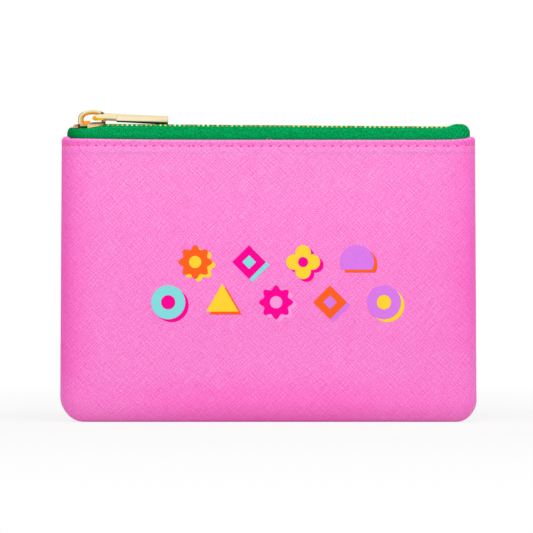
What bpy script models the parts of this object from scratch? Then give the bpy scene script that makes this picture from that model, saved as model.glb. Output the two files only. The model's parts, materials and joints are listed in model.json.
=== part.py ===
"""A flat zip pouch for game tiles: two grained panels, their linings and a metal zip with a bar pull.

Metres, +Z up, front towards -Y. The origin is the middle of the strip that the pouch stands on.
The zip is built along its own line, which falls a little to the right, so its pieces hang from an
empty on that line.
"""

import math

import bmesh
import bpy
from mathutils import Matrix

MM = 0.001
FRONT = -1
BACK = 1

# Clearances
GAP = 0.3 * MM
WELD = 0.001 * MM
SLIDER_PLAY = 0.4 * MM

# Pouch outline
POUCH_WIDTH = 229.6 * MM
MOUTH_WIDTH = 227.9 * MM
LIP_HEIGHT = 154.7 * MM
LIP_END_RISE = 1.4 * MM
CORNER_RADIUS = 12.0 * MM

# Pouch thickness, from the seam plane to the outside
BELLY_HALF_DEPTH = 12.0 * MM
BELLY_CROWN = 1.5 * MM
BELLY_HEIGHT = 60.0 * MM
STAND_HALF_WIDTH = 6.0 * MM
SIDE_ROLL = 10.0 * MM
BOTTOM_ROLL = 12.0 * MM

# Cloth
PANEL_THICKNESS = 1.0 * MM
HEM_THICKNESS = 2.1 * MM
HEM_DEPTH = 8.0 * MM
HEM_STEP = 1.5 * MM
LINING_THICKNESS = 0.5 * MM
TAPE_THICKNESS = 0.5 * MM
STITCH_DROP = 3.7 * MM
THREAD_RADIUS = 0.25 * MM

# Line of the zip, over the lips of the hems
RIDGE_RISE = 7.3 * MM
RIDGE_FALL_DEGREES = 0.4

# Teeth and stops
TOOTH_PITCH = 2.62 * MM
TOOTH_LEG_WIDTH = 1.4 * MM
TOOTH_HEAD_WIDTH = 0.95 * MM
TOOTH_HALF_HEIGHT = 0.95 * MM
TOOTH_HEAD_HALF_HEIGHT = 0.7 * MM
CHAIN_HALF_WIDTH = 2.7 * MM
HEAD_REACH = 0.35 * MM
CORD_RADIUS = 0.65 * MM
CORD_FROM_LEG = 1.0 * MM
CHAIN_FROM_TAPE_END = 13.0 * MM
STOP_LENGTH = 3.0 * MM
STOP_HALF_HEIGHT = 1.0 * MM
STOP_BEVEL = 0.35 * MM
BOTTOM_STOP_LENGTH = 2.8 * MM

# Slider
SLIDER_LENGTH = 14.8 * MM
SLIDER_FROM_TAPE_END = 13.45 * MM
SLIDER_TILT_DEGREES = 3.0
PLATE_THICKNESS = 0.9 * MM
FLANGE_WIDTH = 0.7 * MM
WEDGE_HALF_WIDTH = 0.55 * MM
WEDGE_LENGTH = 4.6 * MM
NOSE_RADIUS = 2.6 * MM
BOSS_LENGTH = 3.1 * MM
BOSS_WIDTH = 2.2 * MM
BOSS_HEIGHT = 0.8 * MM

# Crown over the slider
CROWN_RADIUS = 1.15 * MM
CROWN_RISE = 5.2 * MM
CROWN_FALL = 1.0 * MM
CROWN_FRONT = 6.2 * MM
CROWN_BACK = 6.1 * MM
CROWN_FRONT_BEND = 3.6 * MM
CROWN_BACK_BEND = 2.6 * MM

# Pull
PIN_RADIUS = 1.15 * MM
PIN_AHEAD = 1.4 * MM
PIN_HEIGHT = 4.0 * MM
PULL_DROOP_DEGREES = 1.35
EYE_RADIUS = 1.3 * MM
LINK_LENGTH = 11.8 * MM
LINK_HALF_WIDTH = 2.9 * MM
LINK_LEG_WIDTH = 1.0 * MM
LINK_BRIDGE = 2.0 * MM
LINK_HEIGHT = 3.6 * MM
LINK_OFFSET = 0.85 * MM
LINK_RAMP = 4.0 * MM
BRIDGE_STEP = 0.2 * MM
BAR_LENGTH = 27.7 * MM
BAR_WIDTH = 5.0 * MM
BAR_HEIGHT = 4.1 * MM
BAR_OFFSET = 0.5 * MM
BAR_ROUNDING = 0.6 * MM
BAR_END_BEVEL = 0.25 * MM

# Ends of the tape, inside the ends of the mouth
TAPE_LEFT_MARGIN = 3.35 * MM
TAPE_RIGHT_MARGIN = 3.05 * MM
TAPE_BEND = 1.0 * MM
TAPE_PINCH = 9.0 * MM
TAPE_LEFT_CORNER = 1.8 * MM
TAPE_RIGHT_CORNER = 3.3 * MM
END_FOLD_RISE = 2.3 * MM
END_FOLD_CLOSE = 2.0 * MM
END_FOLD_DIP = 2.0 * MM

# Widths and heights that follow from the sizes above
HALF_GAP = GAP / 2
RIDGE_HEIGHT = LIP_HEIGHT + RIDGE_RISE
TAPE_LEFT = TAPE_LEFT_MARGIN - MOUTH_WIDTH / 2
TAPE_RIGHT = MOUTH_WIDTH / 2 - TAPE_RIGHT_MARGIN
CHAIN_RIGHT = TAPE_RIGHT - CHAIN_FROM_TAPE_END
SLIDER_CENTRE = TAPE_LEFT + SLIDER_FROM_TAPE_END
CAVITY_HALF_HEIGHT = TOOTH_HALF_HEIGHT + SLIDER_PLAY
PLATE_TOP = CAVITY_HALF_HEIGHT + PLATE_THICKNESS
SLIDER_TILT_REACH = SLIDER_LENGTH / 2 * math.sin(math.radians(SLIDER_TILT_DEGREES))
SLIT_HALF_HEIGHT = TAPE_THICKNESS / 2 + GAP + SLIDER_TILT_REACH
PART_SHIFT = WEDGE_HALF_WIDTH + GAP + HEAD_REACH
REAR_HALF_WIDTH = CHAIN_HALF_WIDTH + GAP + FLANGE_WIDTH
NOSE_HALF_WIDTH = REAR_HALF_WIDTH + PART_SHIFT
RIDGE_HALF_WIDTH = NOSE_HALF_WIDTH + GAP
TAPE_WALL = RIDGE_HALF_WIDTH + TAPE_BEND
LIP_HALF_DEPTH = TAPE_WALL + TAPE_THICKNESS / 2 + GAP + HEM_THICKNESS
HEM_BOTTOM = LIP_HEIGHT - HEM_DEPTH
SLIDER_NOSE = SLIDER_CENTRE - SLIDER_LENGTH / 2
SLIDER_REAR = SLIDER_CENTRE + SLIDER_LENGTH / 2
STOP_RIGHT = SLIDER_NOSE - GAP
STOP_LEFT = STOP_RIGHT - STOP_LENGTH
BOTTOM_STOP_LEFT = CHAIN_RIGHT + GAP
BOTTOM_STOP_RIGHT = BOTTOM_STOP_LEFT + BOTTOM_STOP_LENGTH

# Where the grids of the cloth have their lines
ROLL_DEGREES = (0.0, 20.0, 42.0, 66.0, 90.0)
BOTTOM_ROLL_DEGREES = (25.0, 48.0, 70.0, 90.0)
FLAT_COLUMN_SHARES = (0.2, 0.4, 0.6, 0.8, 1.0)
FLAT_ROW_SHARES = (0.15, 0.3, 0.45, 0.6, 0.75, 0.88)
TAPE_BEND_DEGREES = (0.0, 30.0, 60.0, 90.0)
NOSE_DEGREES = (90.0, 60.0, 30.0, 0.0)
CROWN_DEGREES = (0.0, 22.5, 45.0, 67.5, 90.0)
EYE_DEGREES = (0.0, 36.0, 72.0, 108.0, 144.0, 180.0)
BAR_DEGREES = (0.0, 30.0, 60.0, 90.0)
SHIFT_SHARES = (-0.5, -0.25, 0.0, 0.25, 0.5)
LIP_RISE_POWER = 4


def clamp(value, low=0.0, high=1.0):
    """Hold a value between two limits."""
    return max(low, min(high, value))


def smooth(share):
    """Ease a share of 0 to 1 in and out."""
    share = clamp(share)
    return share * share * (3.0 - 2.0 * share)


def round_over(distance, radius):
    """Give the depth share of a quarter round, at a distance from its edge."""
    share = clamp(distance / radius)
    return math.sqrt(1.0 - (1.0 - share) ** 2)


def make_material(name, colour, roughness, metallic=0.0):
    """Make a plain Principled material."""
    material = bpy.data.materials.new(name)
    material.use_nodes = True
    shader = material.node_tree.nodes["Principled BSDF"]
    shader.inputs["Base Color"].default_value = (*colour, 1.0)
    shader.inputs["Roughness"].default_value = roughness
    shader.inputs["Metallic"].default_value = metallic
    material.diffuse_color = (*colour, 1.0)
    return material


def add_object(name, mesh, collection, material=None, parent=None):
    """Link a mesh as an object of a collection."""
    thing = bpy.data.objects.new(name, mesh)
    collection.objects.link(thing)
    thing.parent = parent
    if material is not None:
        mesh.materials.clear()
        mesh.materials.append(material)
    return thing


def add_empty(name, collection, parent=None, location=(0, 0, 0), turn_y=0.0):
    """Add an empty that carries pieces."""
    empty = bpy.data.objects.new(name, None)
    collection.objects.link(empty)
    empty.parent = parent
    empty.location = location
    empty.rotation_euler = (0.0, math.radians(turn_y), 0.0)
    return empty


def settled_mesh(thing):
    """Take an object's mesh with its modifiers worked in, and remove the object."""
    bpy.context.view_layer.update()
    seen = thing.evaluated_get(bpy.context.evaluated_depsgraph_get())
    mesh = bpy.data.meshes.new_from_object(seen)
    mesh.name = thing.name
    bpy.data.objects.remove(thing)
    return mesh


def add_bevel(thing, width, segments=2, degrees=40.0):
    """Round the sharp edges of a piece."""
    bevel = thing.modifiers.new("rounded_edges", "BEVEL")
    bevel.width = width
    bevel.segments = segments
    bevel.limit_method = "ANGLE"
    bevel.angle_limit = math.radians(degrees)


def cut(thing, cutter, operation="DIFFERENCE"):
    """Cut a piece with a hidden cutter, or join one to it."""
    boolean = thing.modifiers.new(cutter.name, "BOOLEAN")
    boolean.operation = operation
    boolean.solver = "EXACT"
    boolean.object = cutter
    cutter.hide_render = True
    cutter.display_type = "WIRE"


def grid_mesh(name, columns, rows, place, side):
    """Lay a grid over a surface: place(column, row) gives each point, for the front."""
    bm = bmesh.new()
    bmesh.ops.create_grid(bm, x_segments=len(columns) - 1, y_segments=len(rows) - 1, size=1.0)
    for vert in bm.verts:
        column = columns[round((vert.co.x + 1.0) / 2.0 * (len(columns) - 1))]
        row = rows[round((vert.co.y + 1.0) / 2.0 * (len(rows) - 1))]
        x, depth, z = place(column, row)
        vert.co = (x, side * depth, z)
    if side == BACK:
        bmesh.ops.reverse_faces(bm, faces=bm.faces)
    bmesh.ops.remove_doubles(bm, verts=bm.verts, dist=WELD)
    mesh = bpy.data.meshes.new(name)
    bm.to_mesh(mesh)
    bm.free()
    return mesh


def outline_mesh(name, outlines, half_height):
    """Fill flat outlines, the later ones as holes, and give them a height."""
    curve = bpy.data.curves.new(name, "CURVE")
    curve.dimensions = "2D"
    curve.fill_mode = "BOTH"
    curve.extrude = half_height
    for outline in outlines:
        spline = curve.splines.new("POLY")
        spline.points.add(len(outline) - 1)
        spline.use_cyclic_u = True
        for point, (x, y) in zip(spline.points, outline):
            point.co = (x, y, 0.0, 1.0)
    thing = bpy.data.objects.new(name, curve)
    bpy.context.scene.collection.objects.link(thing)
    mesh = settled_mesh(thing)
    return welded(mesh)


def wire_mesh(name, points, radius, resolution):
    """Run a round wire through points, with closed ends."""
    curve = bpy.data.curves.new(name, "CURVE")
    curve.dimensions = "3D"
    curve.bevel_depth = radius
    curve.bevel_resolution = resolution
    curve.use_fill_caps = True
    spline = curve.splines.new("POLY")
    spline.points.add(len(points) - 1)
    for point, place in zip(spline.points, points):
        point.co = (*place, 1.0)
    thing = bpy.data.objects.new(name, curve)
    bpy.context.scene.collection.objects.link(thing)
    mesh = settled_mesh(thing)
    return welded(mesh)


def welded(mesh):
    """Weld the loose caps of a mesh and point its faces outwards."""
    bm = bmesh.new()
    bm.from_mesh(mesh)
    bmesh.ops.remove_doubles(bm, verts=bm.verts, dist=WELD)
    bmesh.ops.recalc_face_normals(bm, faces=bm.faces)
    bm.to_mesh(mesh)
    bm.free()
    return mesh


def box_mesh(name, low, high):
    """Make a box between two corners."""
    bm = bmesh.new()
    bmesh.ops.create_cube(bm, size=1.0)
    size = [b - a for a, b in zip(low, high)]
    middle = [(a + b) / 2 for a, b in zip(low, high)]
    bmesh.ops.scale(bm, vec=size, verts=bm.verts)
    bmesh.ops.translate(bm, vec=middle, verts=bm.verts)
    mesh = bpy.data.meshes.new(name)
    bm.to_mesh(mesh)
    bm.free()
    return mesh


# The pouch


def outer_half_depth(height, across_share):
    """Give the distance from the seam plane to the outside, clear of the rolled edges."""
    base = BELLY_HALF_DEPTH - BELLY_CROWN
    upper = smooth((height - BELLY_HEIGHT) / (HEM_BOTTOM - BELLY_HEIGHT))
    crown = BELLY_CROWN * (1.0 - across_share**2) * (1.0 - upper)
    return base + (LIP_HALF_DEPTH - base) * upper + crown


def pouch_columns(inset):
    """List the grid lines across the pouch as side, distance from the seam and depth share."""
    roll = SIDE_ROLL - inset
    flat = POUCH_WIDTH / 2 - inset - roll
    edge = [
        (roll * (1.0 - math.cos(math.radians(a))), math.sin(math.radians(a))) for a in ROLL_DEGREES
    ]
    edge += [(roll + flat * share, 1.0) for share in FLAT_COLUMN_SHARES]
    left = [(-1.0, distance, share) for distance, share in edge]
    right = [(1.0, distance, share) for distance, share in reversed(edge[:-1])]
    return left + right


def pouch_rows(inset, top):
    """List the grid lines up the pouch as height and the two shares of its depth."""
    roll = BOTTOM_ROLL - inset
    rows = [(inset, 0.0, 0.0), (inset, 1.0, 0.0)]
    for degrees in BOTTOM_ROLL_DEGREES:
        angle = math.radians(degrees)
        rows.append((inset + roll * (1.0 - math.cos(angle)), 1.0, math.sin(angle)))
    start = rows[-1][0]
    end = HEM_BOTTOM - HEM_STEP
    rows += [(start + (end - start) * share, 1.0, 1.0) for share in FLAT_ROW_SHARES]
    rows += [(height, 1.0, 1.0) for height in top]
    return rows


def pouch_point(column, row, inset):
    """Place one point of the pouch's skin, drawn in by an inset."""
    side, distance, side_share = column
    height, stand_share, roll_share = row
    taper = clamp(height / LIP_HEIGHT)
    half_width = (POUCH_WIDTH + (MOUTH_WIDTH - POUCH_WIDTH) * taper) / 2 - inset
    full = POUCH_WIDTH / 2 - inset
    x = half_width * (1.0 - distance / full)
    across_share = x / half_width
    depth = outer_half_depth(height, across_share) - inset
    stand = STAND_HALF_WIDTH
    reach = HALF_GAP + (stand - HALF_GAP) * stand_share + (depth - stand) * roll_share
    y = HALF_GAP + (reach - HALF_GAP) * side_share
    radius = CORNER_RADIUS - inset
    centre_x = half_width - radius
    centre_z = inset + radius
    z = height
    if x > centre_x and z < centre_z:
        a = (x - centre_x) / radius
        b = (centre_z - z) / radius
        x = centre_x + radius * a * math.sqrt(1.0 - b * b / 2.0)
        z = centre_z - radius * b * math.sqrt(1.0 - a * a / 2.0)
    hem_share = clamp((height - HEM_BOTTOM) / HEM_DEPTH)
    z += LIP_END_RISE * across_share**LIP_RISE_POWER * hem_share
    return side * x, y, z


def seam_trimmed(mesh, side):
    """Trim a shell's rim flat, half a gap from the seam plane."""
    for vert in mesh.vertices:
        if vert.co.y * side < HALF_GAP:
            vert.co.y = side * HALF_GAP
    return mesh


def build_panel(name, side, collection, material):
    """Build a grained panel, with its mouth edge folded to a hem."""
    columns = pouch_columns(0.0)
    rows = pouch_rows(0.0, (HEM_BOTTOM - HEM_STEP, HEM_BOTTOM, LIP_HEIGHT))
    mesh = grid_mesh(name, columns, rows, lambda c, r: pouch_point(c, r, 0.0), side)
    shell = add_object(name, mesh, collection)
    hem = shell.vertex_groups.new(name="hem")
    hem_line = HEM_BOTTOM - HEM_STEP / 2
    hem.add([v.index for v in mesh.vertices if v.co.z > hem_line], 1.0, "REPLACE")
    wall = shell.modifiers.new("wall", "SOLIDIFY")
    wall.thickness = HEM_THICKNESS
    wall.vertex_group = hem.name
    wall.thickness_vertex_group = PANEL_THICKNESS / HEM_THICKNESS
    wall.offset = -1.0
    wall.use_even_offset = True
    mesh = seam_trimmed(settled_mesh(shell), side)
    return add_object(name, mesh, collection, material)


def build_lining(name, side, collection, material):
    """Build a lining that hangs just inside its panel, up to the hem."""
    inset = PANEL_THICKNESS + GAP
    rows = pouch_rows(inset, (HEM_BOTTOM - HEM_STEP - GAP,))
    columns = pouch_columns(inset)
    mesh = grid_mesh(name, columns, rows, lambda c, r: pouch_point(c, r, inset), side)
    shell = add_object(name, mesh, collection)
    wall = shell.modifiers.new("wall", "SOLIDIFY")
    wall.thickness = LINING_THICKNESS
    wall.offset = -1.0
    wall.use_even_offset = True
    mesh = seam_trimmed(settled_mesh(shell), side)
    return add_object(name, mesh, collection, material)


def build_topstitch(name, side, collection, material):
    """Run the topstitching thread along the outside of the hem."""
    lift = GAP + THREAD_RADIUS
    row = (LIP_HEIGHT - STITCH_DROP, 1.0, 1.0)
    points = []
    for column in pouch_columns(0.0)[2:-2]:
        x, y, z = pouch_point(column, row, 0.0)
        outwards = math.sqrt(1.0 - column[2] ** 2)
        points.append((x + column[0] * lift * outwards, side * (y + lift * column[2]), z))
    mesh = wire_mesh(name, points, THREAD_RADIUS, 1)
    return add_object(name, mesh, collection, material)


# The zip, along its own line


def row_shift(x):
    """Give how far each row of teeth stands off its closed place, beside the slider's wedge."""
    opening = smooth((SLIDER_CENTRE + WEDGE_LENGTH / 2 - x) / WEDGE_LENGTH)
    closing = smooth((x - STOP_RIGHT) / NOSE_RADIUS)
    return PART_SHIFT * opening * closing


def shift_stations():
    """List the places where the rows bend round the wedge."""
    opening = [SLIDER_CENTRE + WEDGE_LENGTH * share for share in SHIFT_SHARES]
    closing = [STOP_RIGHT + NOSE_RADIUS * (0.5 + share) for share in SHIFT_SHARES]
    return sorted(opening + closing)


def tape_columns():
    """List the grid lines along the tape."""
    pinch = [TAPE_PINCH * (1.0 - math.cos(math.radians(a))) for a in ROLL_DEGREES]
    left = [TAPE_LEFT + distance for distance in pinch]
    right = [TAPE_RIGHT - distance for distance in pinch]
    left_close = [STOP_LEFT - GAP, STOP_LEFT]
    straight = [SLIDER_REAR, (SLIDER_REAR + CHAIN_RIGHT) / 2, CHAIN_RIGHT]
    fold = [
        CHAIN_RIGHT + (BOTTOM_STOP_RIGHT - CHAIN_RIGHT) * share for share in (0.25, 0.5, 0.75, 1.0)
    ]
    close = [BOTTOM_STOP_RIGHT + END_FOLD_CLOSE]
    return sorted(left + left_close + shift_stations() + straight + fold + close + right)


def tape_rows():
    """List the grid lines round the tape as depth, height and share of the way to the free edge."""
    low = HEM_BOTTOM + GAP - RIDGE_HEIGHT
    rows = [(TAPE_WALL, low, 0.0), (TAPE_WALL, LIP_HEIGHT - RIDGE_HEIGHT, 0.0)]
    for degrees in TAPE_BEND_DEGREES:
        angle = math.radians(degrees)
        depth = RIDGE_HALF_WIDTH + TAPE_BEND * math.cos(angle)
        rows.append((depth, TAPE_BEND * (math.sin(angle) - 1.0), 0.0))
    rows.append((RIDGE_HALF_WIDTH, 0.0, 1.0))
    return rows


def tape_edge(x):
    """Give the distance of the tape's free edge from the middle of the chain."""
    reach = TOOTH_LEG_WIDTH / 2
    edge = CHAIN_HALF_WIDTH + GAP + max(row_shift(x - reach), row_shift(x), row_shift(x + reach))
    if x <= STOP_LEFT - GAP:
        return HALF_GAP
    if x > BOTTOM_STOP_RIGHT:
        closed = smooth((x - BOTTOM_STOP_RIGHT) / END_FOLD_CLOSE)
        return edge + (HALF_GAP - edge) * closed
    return edge


def tape_top(x, free):
    """Give how far the tape rises or falls at its ends, with the fold lower at its free edge."""
    folded = smooth((x - CHAIN_RIGHT) / (BOTTOM_STOP_RIGHT - CHAIN_RIGHT))
    rise = (END_FOLD_RISE - END_FOLD_DIP * free) * folded
    left = TAPE_LEFT_CORNER * (round_over(x - TAPE_LEFT, TAPE_LEFT_CORNER) - 1.0)
    right = TAPE_RIGHT_CORNER * (round_over(TAPE_RIGHT - x, TAPE_RIGHT_CORNER) - 1.0)
    return rise + left + right


def tape_point(x, row):
    """Place one point of the tape."""
    depth, height, free = row
    pinch = round_over(x - TAPE_LEFT, TAPE_PINCH) * round_over(TAPE_RIGHT - x, TAPE_PINCH)
    y = HALF_GAP + (depth - HALF_GAP) * pinch
    y += (min(tape_edge(x), y) - y) * free
    low = LIP_HEIGHT - RIDGE_HEIGHT
    above = clamp((height - low) / (0.0 - low))
    return x, y, height + tape_top(x, free * pinch) * above


def build_tape(name, side, collection, material, parent):
    """Build a woven tape, from inside the hem up and over to the chain."""
    mesh = grid_mesh(name, tape_columns(), tape_rows(), tape_point, side)
    cloth = add_object(name, mesh, collection)
    wall = cloth.modifiers.new("weave", "SOLIDIFY")
    wall.thickness = TAPE_THICKNESS
    wall.offset = 0.0
    wall.use_even_offset = False
    mesh = seam_trimmed(settled_mesh(cloth), side)
    return add_object(name, mesh, collection, material, parent)


def build_teeth(name, side, start, collection, cutters, material, parent):
    """Build a row of teeth, clamped to the cord along the edge of its tape."""
    bm = bmesh.new()
    x = start + TOOTH_LEG_WIDTH / 2
    while x + TOOTH_LEG_WIDTH / 2 <= CHAIN_RIGHT:
        tooth = bmesh.ops.create_cube(bm, size=1.0)["verts"]
        outer = CHAIN_HALF_WIDTH + row_shift(x)
        inner = row_shift(x) - HEAD_REACH
        for vert in tooth:
            leg = vert.co.y * side > 0
            width = TOOTH_LEG_WIDTH if leg else TOOTH_HEAD_WIDTH
            half_height = TOOTH_HALF_HEIGHT if leg else TOOTH_HEAD_HALF_HEIGHT
            vert.co.x = x + width * vert.co.x
            vert.co.y = side * (outer if leg else inner)
            vert.co.z = math.copysign(half_height, vert.co.z)
        x += TOOTH_PITCH
    last = x - TOOTH_PITCH
    mesh = bpy.data.meshes.new(name)
    bm.to_mesh(mesh)
    bm.free()
    row = add_object(name, mesh, collection, material, parent)
    first = start + TOOTH_LEG_WIDTH / 2
    bends = [b for b in shift_stations() if first < b < last]
    stations = [first] + bends + [last]
    in_leg = CHAIN_HALF_WIDTH - CORD_FROM_LEG
    points = [(s, side * (in_leg + row_shift(s)), 0.0) for s in stations]
    cord = wire_mesh(name + "_cord", points, CORD_RADIUS, 0)
    cut(row, add_object(name + "_cord", cord, cutters, None, parent), "UNION")
    return row


def build_top_stop(name, side, collection, material, parent):
    """Build a stop on the edge of one tape, where the slider rests."""
    inner = HALF_GAP
    outer = CHAIN_HALF_WIDTH
    low = (STOP_LEFT, min(side * inner, side * outer), -STOP_HALF_HEIGHT)
    high = (STOP_RIGHT, max(side * inner, side * outer), STOP_HALF_HEIGHT)
    stop = add_object(name, box_mesh(name, low, high), collection, material, parent)
    add_bevel(stop, STOP_BEVEL)
    return stop


def build_bottom_stop(collection, material, parent):
    """Build the stop across both tapes, under their folded ends."""
    low = (BOTTOM_STOP_LEFT, -CHAIN_HALF_WIDTH, -TOOTH_HALF_HEIGHT)
    high = (BOTTOM_STOP_RIGHT, CHAIN_HALF_WIDTH, TOOTH_HALF_HEIGHT)
    mesh = box_mesh("bottom_stop", low, high)
    stop = add_object("bottom_stop", mesh, collection, material, parent)
    add_bevel(stop, STOP_BEVEL)
    return stop


# The slider and its pull


def mirrored_outline(half):
    """Close an outline from its upper half, given from left to right."""
    return half + [(x, -y) for x, y in reversed(half) if y > 0.0]


def build_slider(collection, cutters, material, parent):
    """Build the slider's body: two plates joined by a wedge, with flanges along the sides."""
    half = SLIDER_LENGTH / 2
    widen = WEDGE_LENGTH / 2 + TOOTH_LEG_WIDTH / 2
    full = widen - WEDGE_LENGTH
    nose = [
        (-half + NOSE_RADIUS * (1.0 - math.sin(math.radians(a))),
         NOSE_HALF_WIDTH - NOSE_RADIUS * (1.0 - math.cos(math.radians(a))))
        for a in NOSE_DEGREES
    ]
    sides = [(full, NOSE_HALF_WIDTH), (widen, REAR_HALF_WIDTH), (half, REAR_HALF_WIDTH)]
    mesh = outline_mesh("slider_body", [mirrored_outline(nose + sides)], PLATE_TOP)
    body = add_object("slider_body", mesh, collection, material, parent)

    over = FLANGE_WIDTH
    room_rear = REAR_HALF_WIDTH - FLANGE_WIDTH
    room_nose = NOSE_HALF_WIDTH - FLANGE_WIDTH
    open_from = full - FLANGE_WIDTH
    room = mirrored_outline([
        (-half - over, NOSE_HALF_WIDTH + over),
        (open_from, NOSE_HALF_WIDTH + over),
        (open_from, room_nose),
        (full, room_nose),
        (widen, room_rear),
        (half + over, room_rear),
    ])
    wedge_tip = -GAP
    wedge_wide = wedge_tip - WEDGE_LENGTH / 2
    wedge_end = wedge_wide - WEDGE_LENGTH / 2
    wedge = [
        (wedge_tip, 0.0),
        (wedge_wide, WEDGE_HALF_WIDTH),
        (wedge_end, WEDGE_HALF_WIDTH),
        (wedge_end, -WEDGE_HALF_WIDTH),
        (wedge_wide, -WEDGE_HALF_WIDTH),
    ]
    mesh = outline_mesh("slider_room", [room, wedge], CAVITY_HALF_HEIGHT)
    cut(body, add_object("slider_room", mesh, cutters, None, parent))
    for side, name in ((FRONT, "front_slit"), (BACK, "back_slit")):
        ends = (side * room_rear, side * (NOSE_HALF_WIDTH + over))
        low = (-half - over, min(ends), -SLIT_HALF_HEIGHT)
        high = (half + over, max(ends), SLIT_HALF_HEIGHT)
        cut(body, add_object(name, box_mesh(name, low, high), cutters, None, parent))
    boss_low = (-CROWN_FRONT + CROWN_RADIUS + GAP, -BOSS_WIDTH / 2, PLATE_TOP - PLATE_THICKNESS / 2)
    boss_high = (boss_low[0] + BOSS_LENGTH, BOSS_WIDTH / 2, PLATE_TOP + BOSS_HEIGHT)
    boss = box_mesh("slider_boss", boss_low, boss_high)
    cut(body, add_object("slider_boss", boss, cutters, None, parent), "UNION")
    return body


def build_crown(collection, material, parent):
    """Build the crown, a round strap that arches over the slider and falls towards its rear."""
    foot = PLATE_TOP + GAP
    top = PLATE_TOP + CROWN_RISE
    points = [(-CROWN_FRONT, 0.0, foot)]
    for degrees in CROWN_DEGREES:
        angle = math.radians(degrees)
        x = -CROWN_FRONT + CROWN_FRONT_BEND * (1.0 - math.cos(angle))
        points.append((x, 0.0, top - CROWN_FRONT_BEND * (1.0 - math.sin(angle))))
    for degrees in reversed(CROWN_DEGREES[:-1]):
        angle = math.radians(degrees)
        x = CROWN_BACK - CROWN_BACK_BEND * (1.0 - math.cos(angle))
        points.append((x, 0.0, top - CROWN_FALL - CROWN_BACK_BEND * (1.0 - math.sin(angle))))
    points.append((CROWN_BACK, 0.0, foot))
    mesh = wire_mesh("slider_crown", points, CROWN_RADIUS, 2)
    return add_object("slider_crown", mesh, collection, material, parent)


def build_link(collection, cutters, material, parent):
    """Build the link: two cranked legs, the pin that turns inside the crown and a bridge."""
    low = LINK_OFFSET - LINK_HEIGHT / 2
    high = LINK_OFFSET + LINK_HEIGHT / 2
    turns = [math.radians(degrees) for degrees in EYE_DEGREES]
    profile = [(-EYE_RADIUS * math.sin(turn), -EYE_RADIUS * math.cos(turn)) for turn in turns]
    profile += [(LINK_RAMP, high), (LINK_LENGTH, high), (LINK_LENGTH, low), (LINK_RAMP, low)]
    legs = []
    for side, word in ((FRONT, "front"), (BACK, "back")):
        mesh = outline_mesh(word + "_leg", [profile], LINK_LEG_WIDTH / 2)
        mesh.transform(Matrix.Rotation(math.radians(90.0), 4, "X"))
        middle = side * (LINK_HALF_WIDTH - LINK_LEG_WIDTH / 2)
        mesh.transform(Matrix.Translation((0.0, middle, 0.0)))
        legs.append(mesh)
    link = add_object("pull_link", legs[0], collection, material, parent)
    cut(link, add_object("back_leg", legs[1], cutters, None, parent), "UNION")

    reach = LINK_HALF_WIDTH - LINK_LEG_WIDTH / 2
    pin = wire_mesh("cross_pin", [(0.0, -reach, 0.0), (0.0, reach, 0.0)], PIN_RADIUS, 2)
    cut(link, add_object("cross_pin", pin, cutters, None, parent), "UNION")
    bridge_low = (LINK_LENGTH - LINK_BRIDGE, -reach, low + BRIDGE_STEP)
    bridge_high = (LINK_LENGTH - BRIDGE_STEP, reach, high - BRIDGE_STEP)
    bridge = box_mesh("bridge", bridge_low, bridge_high)
    cut(link, add_object("bridge", bridge, cutters, None, parent), "UNION")
    return link


def build_bar(collection, material, parent):
    """Build the bar that the fingers hold, with rounded long edges."""
    corner = []
    for degrees in BAR_DEGREES:
        angle = math.radians(degrees)
        up = BAR_HEIGHT / 2 - BAR_ROUNDING * (1.0 - math.sin(angle))
        across = BAR_WIDTH / 2 - BAR_ROUNDING * (1.0 - math.cos(angle))
        corner.append((up, across))
    half = [(-up, across) for up, across in reversed(corner)] + corner
    mesh = outline_mesh("pull_bar", [mirrored_outline(half)], BAR_LENGTH / 2)
    mesh.transform(Matrix.Rotation(math.radians(-90.0), 4, "Y"))
    middle = LINK_LENGTH + GAP + BAR_LENGTH / 2
    mesh.transform(Matrix.Translation((middle, 0.0, BAR_OFFSET)))
    bar = add_object("pull_bar", mesh, collection, material, parent)
    add_bevel(bar, BAR_END_BEVEL, 1, 60.0)
    return bar


def clear_scene():
    """Remove whatever the scene holds."""
    for thing in list(bpy.data.objects):
        bpy.data.objects.remove(thing)


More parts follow.
